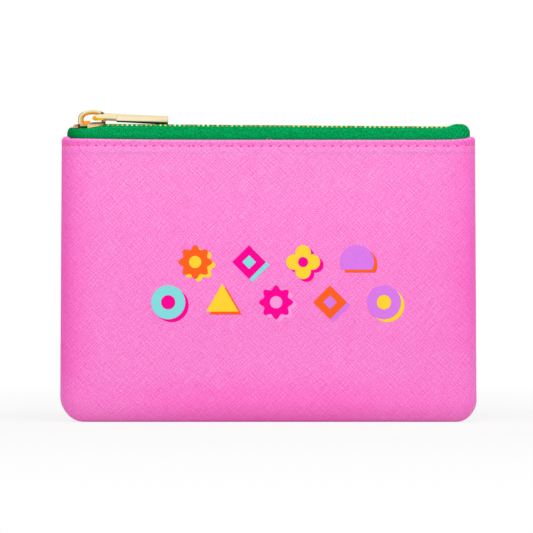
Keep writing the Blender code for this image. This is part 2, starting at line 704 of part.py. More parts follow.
def main():
    """Build the pouch and its zip."""
    clear_scene()
    parts = bpy.data.collections.new("mahjong_tile_bag")
    cutters = bpy.data.collections.new("cutters")
    for collection in (parts, cutters):
        bpy.context.scene.collection.children.link(collection)

    panel = make_material("pink_grained_leatherette", (0.98, 0.22, 0.63), 0.45)
    lining = make_material("pink_lining_cloth", (0.85, 0.35, 0.6), 0.8)
    tape = make_material("green_zip_tape", (0.0, 0.37, 0.09), 0.85)
    thread = make_material("pink_thread", (0.9, 0.25, 0.6), 0.7)
    teeth = make_material("gold_teeth", (0.95, 0.7, 0.3), 0.3, 1.0)
    stops = make_material("copper_stops", (0.8, 0.45, 0.3), 0.35, 1.0)
    slider = make_material("gold_slider", (0.95, 0.72, 0.38), 0.22, 1.0)
    pull = make_material("gold_pull", (0.97, 0.8, 0.5), 0.18, 1.0)

    for side, word in ((FRONT, "front"), (BACK, "back")):
        build_panel(word + "_panel", side, parts, panel)
        build_lining(word + "_lining", side, parts, lining)
        build_topstitch(word + "_topstitch", side, parts, thread)

    ridge = (0.0, 0.0, RIDGE_HEIGHT)
    zip_line = add_empty("zip_line", parts, None, ridge, RIDGE_FALL_DEGREES)
    chain_start = STOP_RIGHT + GAP
    for side, word, start in (
        (FRONT, "front", chain_start),
        (BACK, "back", chain_start + TOOTH_PITCH / 2),
    ):
        build_tape(word + "_tape", side, parts, tape, zip_line)
        build_teeth(word + "_teeth", side, start, parts, cutters, teeth, zip_line)
        build_top_stop(word + "_top_stop", side, parts, stops, zip_line)
    build_bottom_stop(parts, stops, zip_line)

    at_slider = (SLIDER_CENTRE, 0.0, 0.0)
    slider_seat = add_empty("slider", parts, zip_line, at_slider, -SLIDER_TILT_DEGREES)
    build_slider(parts, cutters, slider, slider_seat)
    build_crown(parts, slider, slider_seat)

    at_pin = (SLIDER_CENTRE + PIN_AHEAD, 0.0, PIN_HEIGHT)
    pull_seat = add_empty("pull", parts, zip_line, at_pin, PULL_DROOP_DEGREES)
    build_link(parts, cutters, pull, pull_seat)
    build_bar(parts, pull, pull_seat)


main()
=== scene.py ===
"""Looks of a flat zip pouch for game tiles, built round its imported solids.

Metres, +Z up, front towards -Y, in the frame of the solids. The zip's pieces are made along the
zip's own line, which falls a little to the right, and are then put in place in their meshes.
"""

import json
import logging
import math
import random
from collections.abc import Callable, Iterable, Sequence
from dataclasses import dataclass, field
from enum import Enum, IntEnum
from typing import ClassVar, NamedTuple

import bmesh
import bpy
from mathutils import Matrix, Vector, noise

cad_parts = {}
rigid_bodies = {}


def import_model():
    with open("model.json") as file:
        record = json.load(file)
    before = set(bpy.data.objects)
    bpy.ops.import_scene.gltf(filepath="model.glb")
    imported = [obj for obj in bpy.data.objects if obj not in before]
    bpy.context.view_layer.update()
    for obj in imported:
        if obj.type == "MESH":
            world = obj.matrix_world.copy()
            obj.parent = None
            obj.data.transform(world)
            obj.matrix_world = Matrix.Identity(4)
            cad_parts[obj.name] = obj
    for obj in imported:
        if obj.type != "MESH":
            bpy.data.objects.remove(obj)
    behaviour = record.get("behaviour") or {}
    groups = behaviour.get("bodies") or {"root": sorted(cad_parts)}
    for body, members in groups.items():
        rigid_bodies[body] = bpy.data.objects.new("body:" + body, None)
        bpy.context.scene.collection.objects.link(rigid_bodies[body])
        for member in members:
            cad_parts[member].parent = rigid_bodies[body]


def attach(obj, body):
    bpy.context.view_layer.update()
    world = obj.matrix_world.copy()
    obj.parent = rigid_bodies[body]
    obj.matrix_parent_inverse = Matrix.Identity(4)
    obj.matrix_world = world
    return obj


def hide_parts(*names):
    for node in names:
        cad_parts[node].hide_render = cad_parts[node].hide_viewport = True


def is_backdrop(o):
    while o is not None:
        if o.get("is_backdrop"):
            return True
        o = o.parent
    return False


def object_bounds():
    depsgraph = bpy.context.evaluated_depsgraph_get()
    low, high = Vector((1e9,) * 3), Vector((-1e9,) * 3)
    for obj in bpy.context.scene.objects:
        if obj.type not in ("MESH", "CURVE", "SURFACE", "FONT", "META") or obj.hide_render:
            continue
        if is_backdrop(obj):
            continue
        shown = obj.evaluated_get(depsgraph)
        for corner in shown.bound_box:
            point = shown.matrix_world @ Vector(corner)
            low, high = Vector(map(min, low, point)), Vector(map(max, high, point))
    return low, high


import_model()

LOG = logging.getLogger("tile_pouch")
MM = 0.001
WELD = 0.001 * MM
CLOTH_MAP = "cloth"
SEED = 11

Point = tuple[float, float, float]
Pair = tuple[float, float]
Colour = tuple[float, float, float]


class Side(IntEnum):
    """The two sides of the pouch, as the sign of Y."""

    FRONT = -1
    BACK = 1

    @property
    def word(self) -> str:
        """Give the side's word in a piece's name."""
        return self.name.lower()


# Sums


def clamp(value: float, low: float = 0.0, high: float = 1.0) -> float:
    """Hold a value between two limits."""
    return max(low, min(high, value))


def smooth(share: float) -> float:
    """Ease a share of 0 to 1 in and out."""
    share = clamp(share)
    return share * share * (3.0 - 2.0 * share)


def mix(a: float, b: float, share: float) -> float:
    """Go a share of the way from a to b."""
    return a + (b - a) * share


def along(line: Sequence[Pair], x: float) -> float:
    """Read the height of a line of points at one place, eased from each point to the next.

    Args:
        line: points as x and height, x rising.
        x: where to read.

    Returns:
        The height.
    """
    height = line[0][1]
    for (x0, y0), (x1, y1) in zip(line, line[1:]):
        if x > x0:
            height = mix(y0, y1, smooth((x - x0) / (x1 - x0)))
    return height


def round_over(distance: float, radius: float) -> float:
    """Give the depth share of a quarter round, at a distance from its edge."""
    return math.sqrt(1.0 - (1.0 - clamp(distance / radius)) ** 2)


def ripple(x: float, y: float, size: float) -> float:
    """Give a soft random wave of about -1 to 1, which repeats on no grid."""
    return noise.noise(Vector((x / size, y / size, 0.37))) * 1.6


def steps(start: float, end: float, length: float) -> list[float]:
    """Split a stretch into even steps of about one length, both ends included."""
    count = max(1, round(abs(end - start) / length))
    return [mix(start, end, i / count) for i in range(count + 1)]


def linear(code: str) -> Colour:
    """Turn a colour as seen, in hexadecimal, to the linear values that shaders take.

    Args:
        code: six digits, such as "fc88d5".

    Returns:
        Red, green and blue.
    """
    seen = [int(code[i : i + 2], 16) / 255.0 for i in (0, 2, 4)]
    return tuple(v / 12.92 if v <= 0.04045 else ((v + 0.055) / 1.055) ** 2.4 for v in seen)


# Mesh helpers


def to_mesh(name: str, bm: bmesh.types.BMesh) -> bpy.types.Mesh:
    """Turn a bmesh to a smooth-shaded mesh and free it.

    Args:
        name: the mesh's name.
        bm: the faces.

    Returns:
        The mesh.
    """
    for face in bm.faces:
        face.smooth = True
    mesh = bpy.data.meshes.new(name)
    bm.to_mesh(mesh)
    bm.free()
    return mesh


def sheet(
    name: str,
    columns: Sequence,
    rows: Sequence,
    place: Callable[..., Point],
    cloth: Callable[..., Pair],
    flip: bool = False,
) -> bpy.types.Mesh:
    """Lay a grid of points over a surface, with its cloth map in metres.

    Args:
        name: the mesh's name.
        columns: what place takes for each column, left to right.
        rows: what place takes for each row, bottom to top.
        place: gives the point of a column and a row.
        cloth: gives the cloth map's point of a column and a row.
        flip: turn the faces round.

    Returns:
        The mesh, open at its edges.
    """
    bm = bmesh.new()
    layer = bm.loops.layers.uv.new(CLOTH_MAP)
    last = (len(columns) - 1, len(rows) - 1)
    bmesh.ops.create_grid(bm, x_segments=last[0], y_segments=last[1], size=1.0)
    spots = {}
    for vert in bm.verts:
        c, r = (round((v + 1.0) / 2.0 * n) for v, n in zip(vert.co.xy, last))
        spots[vert] = (columns[c], rows[r])
    for face in bm.faces:
        for loop in face.loops:
            loop[layer].uv = cloth(*spots[loop.vert])
    for vert, spot in spots.items():
        vert.co = place(*spot)
    if flip:
        bmesh.ops.reverse_faces(bm, faces=bm.faces)
    bmesh.ops.remove_doubles(bm, verts=bm.verts, dist=WELD)
    return to_mesh(name, bm)


def tube(
    name: str,
    path: Sequence[Vector],
    radii: Sequence[float],
    across: Vector,
    sides: int = 12,
    flatten: float = 1.0,
) -> bpy.types.Mesh:
    """Run a closed round strand along a path that lies in one plane.

    Args:
        name: the mesh's name.
        path: points along the middle.
        radii: the strand's radius at each point.
        across: the direction square to the path's plane.
        sides: faces round the strand.
        flatten: height of the section against its width.

    Returns:
        The mesh, closed at both ends, with its cloth map along and round the strand.
    """
    ahead = [path[min(i + 1, len(path) - 1)] - path[max(i - 1, 0)] for i in range(len(path))]
    up = [across.cross(a).normalized() for a in ahead]
    run = [0.0]
    for a, b in zip(path, path[1:]):
        run.append(run[-1] + (b - a).length)

    def place(i: int, turn: float) -> Point:
        """Place one point of the ring at one stop along the path."""
        offset = across * math.cos(turn) + up[i] * (math.sin(turn) * flatten)
        return tuple(path[i] + offset * radii[i])

    turns = [math.tau * s / sides for s in range(sides + 1)]
    mesh = sheet(name, range(len(path)), turns, place, lambda i, t: (run[i], t * radii[i]))
    bm = bmesh.new()
    bm.from_mesh(mesh)
    bmesh.ops.holes_fill(bm, edges=[e for e in bm.edges if e.is_boundary], sides=0)
    bmesh.ops.recalc_face_normals(bm, faces=bm.faces)
    bm.to_mesh(mesh)
    bm.free()
    return mesh


def slab(
    name: str,
    outline: Sequence[Pair],
    low: float,
    high: float,
    bevel: float = 0.0,
    segments: int = 2,
    turn: Matrix | None = None,
) -> bpy.types.Mesh:
    """Give a flat outline a height and round its edges.

    Args:
        name: the mesh's name.
        outline: x and y of each corner, in order round it.
        low: height of the underside.
        high: height of the top.
        bevel: size of the rounded edges.
        segments: faces across a rounded edge.
        turn: how the piece is turned and moved from there.

    Returns:
        The closed mesh.
    """
    bm = bmesh.new()
    bm.loops.layers.uv.new(CLOTH_MAP)
    base = bm.faces.new([bm.verts.new((x, y, low)) for x, y in outline])
    grown = bmesh.ops.extrude_face_region(bm, geom=[base])["geom"]
    raised = [g for g in grown if isinstance(g, bmesh.types.BMVert)]
    bmesh.ops.translate(bm, verts=raised, vec=(0.0, 0.0, high - low))
    bmesh.ops.recalc_face_normals(bm, faces=bm.faces)
    if bevel:
        sharp = [e for e in bm.edges if e.calc_face_angle(0.0) > math.radians(28.0)]
        bmesh.ops.bevel(
            bm, geom=sharp, offset=bevel, segments=segments, affect="EDGES", profile=0.5,
            material=-1, clamp_overlap=True,
        )
    if turn is not None:
        bmesh.ops.transform(bm, matrix=turn, verts=bm.verts)
    return to_mesh(name, bm)


def copies(name: str, template: bpy.types.Mesh, places: Iterable[Matrix]) -> bpy.types.Mesh:
    """Repeat a mesh at many places, as one mesh.

    Args:
        name: the new mesh's name.
        template: the mesh to repeat.
        places: where each copy goes.

    Returns:
        The new mesh.
    """
    bm = bmesh.new()
    for place in places:
        copy = template.copy()
        copy.transform(place)
        bm.from_mesh(copy)
        bpy.data.meshes.remove(copy)
    return to_mesh(name, bm)


def joined(name: str, meshes: Iterable[bpy.types.Mesh]) -> bpy.types.Mesh:
    """Put several meshes together in one.

    Args:
        name: the new mesh's name.
        meshes: the meshes.

    Returns:
        The new mesh.
    """
    bm = bmesh.new()
    for mesh in meshes:
        bm.from_mesh(mesh)
    return to_mesh(name, bm)


def rounded(
    mesh: bpy.types.Mesh, size: float, segments: int, wanted: Callable[[bmesh.types.BMEdge], bool]
) -> bpy.types.Mesh:
    """Round the chosen edges of a mesh.

    Args:
        mesh: the mesh, which is changed.
        size: how far the rounding reaches from the edge.
        segments: faces across it.
        wanted: tells whether an edge is rounded.

    Returns:
        The same mesh.
    """
    bm = bmesh.new()
    bm.from_mesh(mesh)
    chosen = [e for e in bm.edges if e.calc_face_angle(0.0) > math.radians(25.0) and wanted(e)]
    bmesh.ops.bevel(
        bm, geom=chosen, offset=size, segments=segments, affect="EDGES", profile=0.5, material=-1,
        clamp_overlap=True,
    )
    for face in bm.faces:
        face.smooth = True
    bm.to_mesh(mesh)
    bm.free()
    return mesh


def cut(mesh: bpy.types.Mesh, place: Point, across: Point) -> None:
    """Add a line of points round a mesh where a plane meets it.

    Args:
        mesh: the mesh, which is changed.
        place: a point of the plane.
        across: the plane's direction.
    """
    bm = bmesh.new()
    bm.from_mesh(mesh)
    whole = [*bm.verts, *bm.edges, *bm.faces]
    bmesh.ops.bisect_plane(bm, geom=whole, dist=WELD, plane_co=place, plane_no=across)
    bm.to_mesh(mesh)
    bm.free()


def tint(mesh: bpy.types.Mesh, name: str, rule: Callable[[Vector], float]) -> None:
    """Paint a share of 0 to 1 on a mesh, by the place of each of its points.

    Args:
        mesh: the mesh, which is changed.
        name: the share's name.
        rule: gives the share at a point.
    """
    layer = mesh.attributes.new(name, "FLOAT", "POINT")
    for vert, value in zip(mesh.vertices, layer.data):
        value.value = clamp(rule(vert.co))


def through(points: Sequence[Pair], count: int) -> list[Pair]:
    """Draw a smooth line through points.

    Args:
        points: the points, in order.
        count: how many steps each stretch between two points gets.

    Returns:
        The line's points.
    """
    first = (2 * points[0][0] - points[1][0], 2 * points[0][1] - points[1][1])
    last = (2 * points[-1][0] - points[-2][0], 2 * points[-1][1] - points[-2][1])
    held = [first, *points, last]
    line = []
    for a, b, c, d in zip(held, held[1:], held[2:], held[3:]):
        for t in (i / count for i in range(count)):
            line.append(tuple(
                0.5 * (2 * b[k] + (c[k] - a[k]) * t + (2 * a[k] - 5 * b[k] + 4 * c[k] - d[k]) * t**2
                       + (3 * b[k] - a[k] - 3 * c[k] + d[k]) * t**3)
                for k in (0, 1)
            ))
    return line + [tuple(points[-1])]


# Finishes


class Graph:
    """The nodes of one material, laid one after another."""

    def __init__(self, name: str) -> None:
        """Start a material with its Principled shader.

        Args:
            name: the material's name.
        """
        self.material = bpy.data.materials.new(name)
        self.material.use_nodes = True
        self.tree = self.material.node_tree
        self.shader = self.tree.nodes["Principled BSDF"]

    def add(self, kind: str, inputs: dict | None = None, **settings: object) -> bpy.types.Node:
        """Add a node.

        Args:
            kind: the node's type, without the leading ShaderNode.
            inputs: sockets or values, by the name or place of the input.
            settings: the node's own settings.

        Returns:
            The node.
        """
        node = self.tree.nodes.new("ShaderNode" + kind)
        node.location = (-220.0 * len(self.tree.nodes), 0.0)
        for key, value in settings.items():
            setattr(node, key, value)
        for key, value in (inputs or {}).items():
            self.feed(node.inputs[key], value)
        return node

    def feed(self, socket: bpy.types.NodeSocket, value: object) -> None:
        """Link or set one input.

        Args:
            socket: the input.
            value: a socket to link, or a value to set.
        """
        if isinstance(value, bpy.types.NodeSocket):
            self.tree.links.new(value, socket)
        elif isinstance(value, tuple) and socket.type == "RGBA":
            socket.default_value = (*value, 1.0)
        else:
            socket.default_value = value

    def cloth(self) -> bpy.types.NodeSocket:
        """Read the piece's cloth map, in metres."""
        return self.add("UVMap", uv_map=CLOTH_MAP).outputs[0]

    def object(self) -> bpy.types.NodeSocket:
        """Read the piece's own coordinates, in metres."""
        return self.add("TexCoord").outputs["Object"]

    def turned(self, vector: bpy.types.NodeSocket, degrees: Point, cell: Point) -> bpy.types.NodeSocket:
        """Turn a pattern and scale it to a cell.

        Args:
            vector: the coordinates.
            degrees: the turn about each axis.
            cell: the cell's size along each axis after the turn, in metres.

        Returns:
            The coordinates in cells.
        """
        turned = self.add("VectorRotate", {
            "Vector": vector, "Rotation": tuple(math.radians(d) for d in degrees),
        }, rotation_type="EULER_XYZ").outputs[0]
        scale = tuple(1.0 / c for c in cell)
        return self.add("VectorMath", {0: turned, 1: scale}, operation="MULTIPLY").outputs[0]

    def noise(
        self, vector: bpy.types.NodeSocket, detail: float = 2.0, rough: float = 0.5
    ) -> bpy.types.NodeSocket:
        """Make soft noise of one cell's size.

        Args:
            vector: the place, in cells.
            detail: how many finer layers it has.
            rough: how strong those are.

        Returns:
            The share.
        """
        return self.add("TexNoise", {
            "Vector": vector, "Scale": 1.0, "Detail": detail, "Roughness": rough,
        }).outputs["Fac"]

    def speckle(self, vector: bpy.types.NodeSocket) -> bpy.types.NodeSocket:
        """Give each cell its own random value."""
        whole = self.add("VectorMath", {0: vector}, operation="FLOOR").outputs[0]
        return self.add("TexWhiteNoise", {"Vector": whole}, noise_dimensions="3D").outputs["Value"]

    def sum(self, operation: str, a: object, b: object = 0.0, c: object = 0.0) -> bpy.types.NodeSocket:
        """Work out one sum of up to three values."""
        return self.add("Math", {0: a, 1: b, 2: c}, operation=operation).outputs[0]

    def blend(
        self, shares: Sequence[tuple[bpy.types.NodeSocket, float]], middle: float = 0.5
    ) -> bpy.types.NodeSocket:
        """Add patterns together, each with its own weight round one middle value.

        Args:
            shares: each pattern with its weight.
            middle: the sum where every pattern is at 0.5.

        Returns:
            The sum.
        """
        total = middle - sum(weight for _, weight in shares) / 2.0
        for pattern, weight in shares:
            total = self.sum("MULTIPLY_ADD", pattern, weight, total)
        return total

    def ramp(
        self, share: bpy.types.NodeSocket, stops: Sequence[tuple[float, Colour]]
    ) -> bpy.types.NodeSocket:
        """Turn a share to a colour through named stops.

        Args:
            share: the share.
            stops: places from 0 to 1, each with its colour.

        Returns:
            The colour.
        """
        node = self.add("ValToRGB", {"Fac": share})
        stop_list = node.color_ramp.elements
        while len(stop_list) < len(stops):
            stop_list.new(0.5)
        for element, (position, colour) in zip(stop_list, stops):
            element.position = position
            element.color = (*colour, 1.0)
        return node.outputs["Color"]

    def waves(self, axis: bpy.types.NodeSocket) -> bpy.types.NodeSocket:
        """Rise and fall once in each cell along an axis, from 0 to 1."""
        return self.spread(self.sum("SINE", self.sum("MULTIPLY", axis, math.tau)), 0.0, 1.0, -1.0)

    def painted(
        self, colour: bpy.types.NodeSocket, name: str, other: str, blend: str = "MIX"
    ) -> bpy.types.NodeSocket:
        """Turn a colour to another one, or multiply it, where the piece is painted with a share.

        Args:
            colour: the colour so far.
            name: the share's name.
            other: the other colour, in hexadecimal.
            blend: how the two are mixed.

        Returns:
            The new colour.
        """
        share = self.add("Attribute", attribute_name=name).outputs["Fac"]
        inputs = {0: share, 6: colour, 7: linear(other)}
        return self.add("Mix", inputs, data_type="RGBA", blend_type=blend).outputs[2]

    def spread(
        self, share: bpy.types.NodeSocket, low: float, high: float, start: float = 0.0
    ) -> bpy.types.NodeSocket:
        """Stretch a share to a range."""
        return self.add("MapRange", {0: share, 1: start, 3: low, 4: high}).outputs[0]

    def bump(self, height: bpy.types.NodeSocket, depth: float, strength: float = 1.0,
             over: bpy.types.NodeSocket | None = None) -> bpy.types.NodeSocket:
        """Press a pattern into the surface, over another bump where there is one.

        Args:
            height: the pattern.
            depth: how far it reaches.
            strength: how much of it counts.
            over: another bump, or None.

        Returns:
            The surface's direction.
        """
        inputs = {"Height": height, "Distance": depth, "Strength": strength}
        if over is not None:
            inputs["Normal"] = over
        return self.add("Bump", inputs).outputs["Normal"]

    def dress(self, **inputs: object) -> bpy.types.Material:
        """Set the shader's inputs, with underscores for the spaces of their names.

        Args:
            inputs: a socket or a value for each input.

        Returns:
            The material.
        """
        for key, value in inputs.items():
            self.feed(self.shader.inputs[key.replace("_", " ")], value)
        return self.material


class Finish:
    """A finish that pieces wear, made once."""

    made: ClassVar[dict[str, bpy.types.Material]] = {}
    name: str

    def paint(self, graph: Graph) -> bpy.types.Material:
        """Lay the finish's nodes."""
        raise NotImplementedError

    def material(self) -> bpy.types.Material:
        """Give the material, the same one each time.

        Returns:
            The material.
        """
        if self.name not in Finish.made:
            Finish.made[self.name] = self.paint(Graph(self.name))
        return Finish.made[self.name]


class Crosshatch(NamedTuple):
    """The patterns of the embossed grain, each from 0 to 1."""

    falling: bpy.types.NodeSocket
    rising: bpy.types.NodeSocket
    lattice: bpy.types.NodeSocket
    grain: bpy.types.NodeSocket


def crosshatch(graph: Graph, cell: float = 1.335 * MM, line: float = 9.5 * MM) -> Crosshatch:
    """Lay two sets of fine embossed lines that cross, strong in some patches and faint in others.

    Args:
        graph: the material's nodes.
        cell: the distance between two lines.
        line: about how far one line runs before it fades.

    Returns:
        The patterns.
    """
    cloth = graph.cloth()
    falling_cells = graph.turned(cloth, (0.0, 0.0, 42.6), (line, cell, cell))
    rising_cells = graph.turned(cloth, (0.0, 0.0, 45.0), (cell, line, cell))
    patch = graph.spread(graph.noise(graph.turned(cloth, (0.0, 0.0, 0.0), (7 * MM,) * 3)), 0.0, 1.0, 0.3)
    bend = graph.noise(graph.turned(cloth, (0.0, 0.0, 0.0), (5 * MM,) * 3))
    fall_axis = graph.add("SeparateXYZ", {0: falling_cells}).outputs[1]
    rise_axis = graph.add("SeparateXYZ", {0: rising_cells}).outputs[0]
    fall = graph.waves(graph.sum("MULTIPLY_ADD", bend, 0.8, fall_axis))
    rise = graph.waves(graph.sum("MULTIPLY_ADD", bend, 4.0, rise_axis))

    def streaks(size: Point, step: Point) -> bpy.types.NodeSocket:
        """Lay stretched noise less the same noise one step over, which sharpens its lines.

        Args:
            size: the cell's three sizes.
            step: how far over the second noise lies, in cells.

        Returns:
            The streaks.
        """
        cells = graph.turned(cloth, (0.0, 0.0, 45.0), size)
        beside = graph.add("VectorMath", {0: cells, 1: step}, operation="ADD").outputs[0]
        here, there = graph.noise(cells, 1.0), graph.noise(beside, 1.0)
        return graph.sum("MULTIPLY_ADD", there, -0.5, graph.sum("ADD", here, 0.25))

    falling_streaks = streaks((line, 0.52 * cell, cell), (0.0, 0.55, 0.0))
    rising_streaks = streaks((0.52 * cell, line, cell), (0.55, 0.0, 0.0))
    fine = graph.noise(graph.turned(cloth, (0.0, 0.0, 45.0), (0.56 * cell,) * 3), 1.0)
    faded = graph.sum("MULTIPLY_ADD", graph.sum("SUBTRACT", fall, 0.5), patch, 0.5)
    falling = graph.blend([(faded, 0.34), (falling_streaks, 0.9)])
    rising = graph.blend([(rise, 0.2), (rising_streaks, 0.95)])
    return Crosshatch(falling, rising, graph.sum("MULTIPLY", fall, rise), fine)


@dataclass(frozen=True)
class Leatherette(Finish):
    """Coated cloth with a fine embossed crosshatch, and painted shade where it rolls away at its edges."""

    name: str = "pink_crosshatch_leatherette"
    dark: str = "f868c2"
    middle: str = "f88bd6"
    pale: str = "f8b0e8"
    # painted shade: the colour that the grain is multiplied by at the rolled edges
    rim_shade_tone: str = "ffafe7"
    emboss: float = 0.07 * MM

    def paint(self, graph: Graph) -> bpy.types.Material:
        """Lay the crosshatch, soft clouds and the painted shade at the rolled edges.

        Args:
            graph: the material's nodes.

        Returns:
            The material.
        """
        hatch = crosshatch(graph)
        cloud = graph.noise(graph.turned(graph.cloth(), (0.0, 0.0, 0.0), (22 * MM,) * 3))
        tone = graph.blend([
            (hatch.falling, 0.98), (hatch.rising, 0.88), (hatch.grain, 1.15), (cloud, 0.05),
        ])
        stops = [(0.1, linear(self.dark)), (0.5, linear(self.middle)), (0.92, linear(self.pale))]
        height = graph.blend([
            (hatch.falling, 0.6), (hatch.rising, 0.5), (hatch.lattice, 0.4), (hatch.grain, 0.3),
        ])
        return graph.dress(
            # the grain multiplied by the painted shade at the rolled edges
            Base_Color=graph.painted(graph.ramp(tone, stops), "rolled", self.rim_shade_tone, "MULTIPLY"),
            Roughness=graph.spread(hatch.grain, 0.42, 0.62),
            Specular_IOR_Level=0.25,
            Normal=graph.bump(height, self.emboss),
        )


@dataclass(frozen=True)
class WovenTape(Finish):
    """Dense knitted zip tape."""

    name: str = "green_woven_zip_tape"
    dark: str = "036222"
    middle: str = "03a04d"
    pale: str = "0cc087"
    # painted shade tone
    shaded: str = "006e30"
    rib: float = 0.95 * MM
    course: float = 0.7 * MM

    def paint(self, graph: Graph) -> bpy.types.Material:
        """Lay the slanted loops of the knit, the uneven yarn and the painted shade at the ends, by the hem,
        along the teeth and under the slider.

        Args:
            graph: the material's nodes.

        Returns:
            The material.
        """
        cloth = graph.cloth()
        cells = graph.turned(cloth, (0.0, 0.0, 0.0), (self.rib, self.course, self.rib))
        split = graph.add("SeparateXYZ", {0: cells}).outputs
        ribs = graph.waves(graph.sum("MULTIPLY_ADD", split[1], 0.5, split[0]))
        courses = graph.waves(split[1])
        loop_size = (0.55 * self.rib, 1.7 * self.course, self.rib)
        loops = graph.noise(graph.turned(cloth, (0.0, 0.0, 28.0), loop_size), 1.0)
        yarn = graph.noise(graph.turned(cloth, (0.0, 0.0, -20.0), (0.7 * self.rib,) * 3), 1.0)
        wear = graph.noise(graph.turned(cloth, (0.0, 0.0, 0.0), (5.0 * MM, 3.0 * MM, 3.0 * MM)), 2.0)
        tone = graph.blend([(yarn, 1.0), (loops, 1.3), (ribs, 0.16), (courses, 0.1), (wear, 0.25)])
        stops = [(0.08, linear(self.dark)), (0.5, linear(self.middle)), (0.95, linear(self.pale))]
        height = graph.blend([(ribs, 0.5), (courses, 0.3), (loops, 0.6)])
        return graph.dress(
            Base_Color=graph.painted(graph.ramp(tone, stops), "shade", self.shaded),
            Roughness=graph.spread(wear, 0.8, 0.95),
            Specular_IOR_Level=0.03,
            Normal=graph.bump(height, 0.12 * MM),
        )


@dataclass(frozen=True)
class LiningCloth(Finish):
    """Plain woven lining."""

    name: str = "pink_plain_weave_lining"
    dark: str = "c25f96"
    pale: str = "f0a3ca"
    thread: float = 0.35 * MM

    def paint(self, graph: Graph) -> bpy.types.Material:
        """Lay the over-and-under weave.

        Args:
            graph: the material's nodes.

        Returns:
            The material.
        """
        cells = graph.turned(graph.cloth(), (0.0, 0.0, 0.0), (self.thread,) * 3)
        checks = graph.add("TexChecker", {"Vector": cells, "Scale": 1.0}).outputs["Fac"]
        yarn = graph.speckle(cells)
        tone = graph.blend([(checks, 0.3), (yarn, 0.4)])
        stops = [(0.1, linear(self.dark)), (0.9, linear(self.pale))]
        return graph.dress(
            Base_Color=graph.ramp(tone, stops),
            Roughness=graph.spread(yarn, 0.75, 0.9),
            Specular_IOR_Level=0.15,
            Normal=graph.bump(tone, 0.08 * MM),
        )


@dataclass(frozen=True)
class Yarn(Finish):
    """Twisted sewing thread."""

    name: str
    dark: str
    pale: str
    twist: float = 0.45 * MM

    def paint(self, graph: Graph) -> bpy.types.Material:
        """Lay the twist of the plies.

        Args:
            graph: the material's nodes.

        Returns:
            The material.
        """
        cells = graph.turned(graph.cloth(), (0.0, 0.0, 40.0), (self.twist, self.twist * 3, self.twist))
        along = graph.add("SeparateXYZ", {0: cells}).outputs[0]
        plies = graph.sum("ABSOLUTE", graph.sum("SINE", graph.sum("MULTIPLY", along, math.pi)))
        fuzz = graph.noise(graph.turned(graph.object(), (0.0, 0.0, 0.0), (0.3 * MM,) * 3))
        tone = graph.blend([(plies, 0.6), (fuzz, 0.5)])
        return graph.dress(
            Base_Color=graph.ramp(tone, [(0.1, linear(self.dark)), (0.8, linear(self.pale))]),
            Roughness=graph.spread(fuzz, 0.55, 0.8),
            Specular_IOR_Level=0.2,
            Normal=graph.bump(plies, 0.06 * MM),
        )


@dataclass(frozen=True)
class Metal(Finish):
    """Plated metal with fine polishing lines and slight tarnish."""

    name: str
    warm: str
    bright: str
    pale: str
    smooth: float = 0.14
    rough: float = 0.26
    patch: float = 3.0 * MM
    piece_length: float = 0.0
    # deep and dark: the colours of painted reflections and painted shade, where a piece paints those shares
    deep: str | None = None
    dark: str = "4c3410"

    def paint(self, graph: Graph) -> bpy.types.Material:
        """Lay the tarnish, the polish, each tooth's own tone on rows, and the deep and dark shares: painted
        reflections and painted shade.

        Args:
            graph: the material's nodes.

        Returns:
            The material.
        """
        place = graph.object()
        tarnish = graph.noise(graph.turned(place, (0.0, 0.0, 0.0), (self.patch,) * 3), 3.0)
        lines = graph.noise(graph.turned(place, (0.0, 20.0, 10.0), (1.6 * MM, 0.07 * MM, 0.07 * MM)))
        parts = [(tarnish, 0.9), (lines, 0.25)]
        if self.piece_length:
            own = graph.speckle(graph.turned(place, (0.0, 0.0, 0.0), (self.piece_length, 1.0, 1.0)))
            parts = [(own, 0.9), (tarnish, 0.3)]
        tone = graph.blend(parts)
        stops = [(0.15, linear(self.warm)), (0.55, linear(self.bright)), (0.9, linear(self.pale))]
        colour = graph.ramp(tone, stops)
        if self.deep:
            # painted reflections and painted shade
            colour = graph.painted(graph.painted(colour, "deep", self.deep), "dark", self.dark)
        return graph.dress(
            Base_Color=colour,
            Metallic=1.0,
            Roughness=graph.spread(graph.blend([(tarnish, 0.6), (lines, 0.6)]), self.smooth, self.rough),
            Normal=graph.bump(lines, 0.004 * MM),
        )


@dataclass(frozen=True)
class Ink(Finish):
    """Printed colour that lets the crosshatch show."""

    name: str
    colour: str
    deep: str

    def paint(self, graph: Graph) -> bpy.types.Material:
        """Lay the ink over the embossed grain.

        Args:
            graph: the material's nodes.

        Returns:
            The material.
        """
        hatch = crosshatch(graph)
        tone = graph.blend([(hatch.falling, 0.7), (hatch.rising, 0.6), (hatch.grain, 0.3)])
        height = graph.blend([(hatch.falling, 0.6), (hatch.rising, 0.5), (hatch.lattice, 0.4)])
        return graph.dress(
            Base_Color=graph.ramp(tone, [(0.1, linear(self.deep)), (0.6, linear(self.colour))]),
            Roughness=graph.spread(hatch.grain, 0.55, 0.7),
            Specular_IOR_Level=0.06,
            Normal=graph.bump(height, 0.012 * MM),
        )


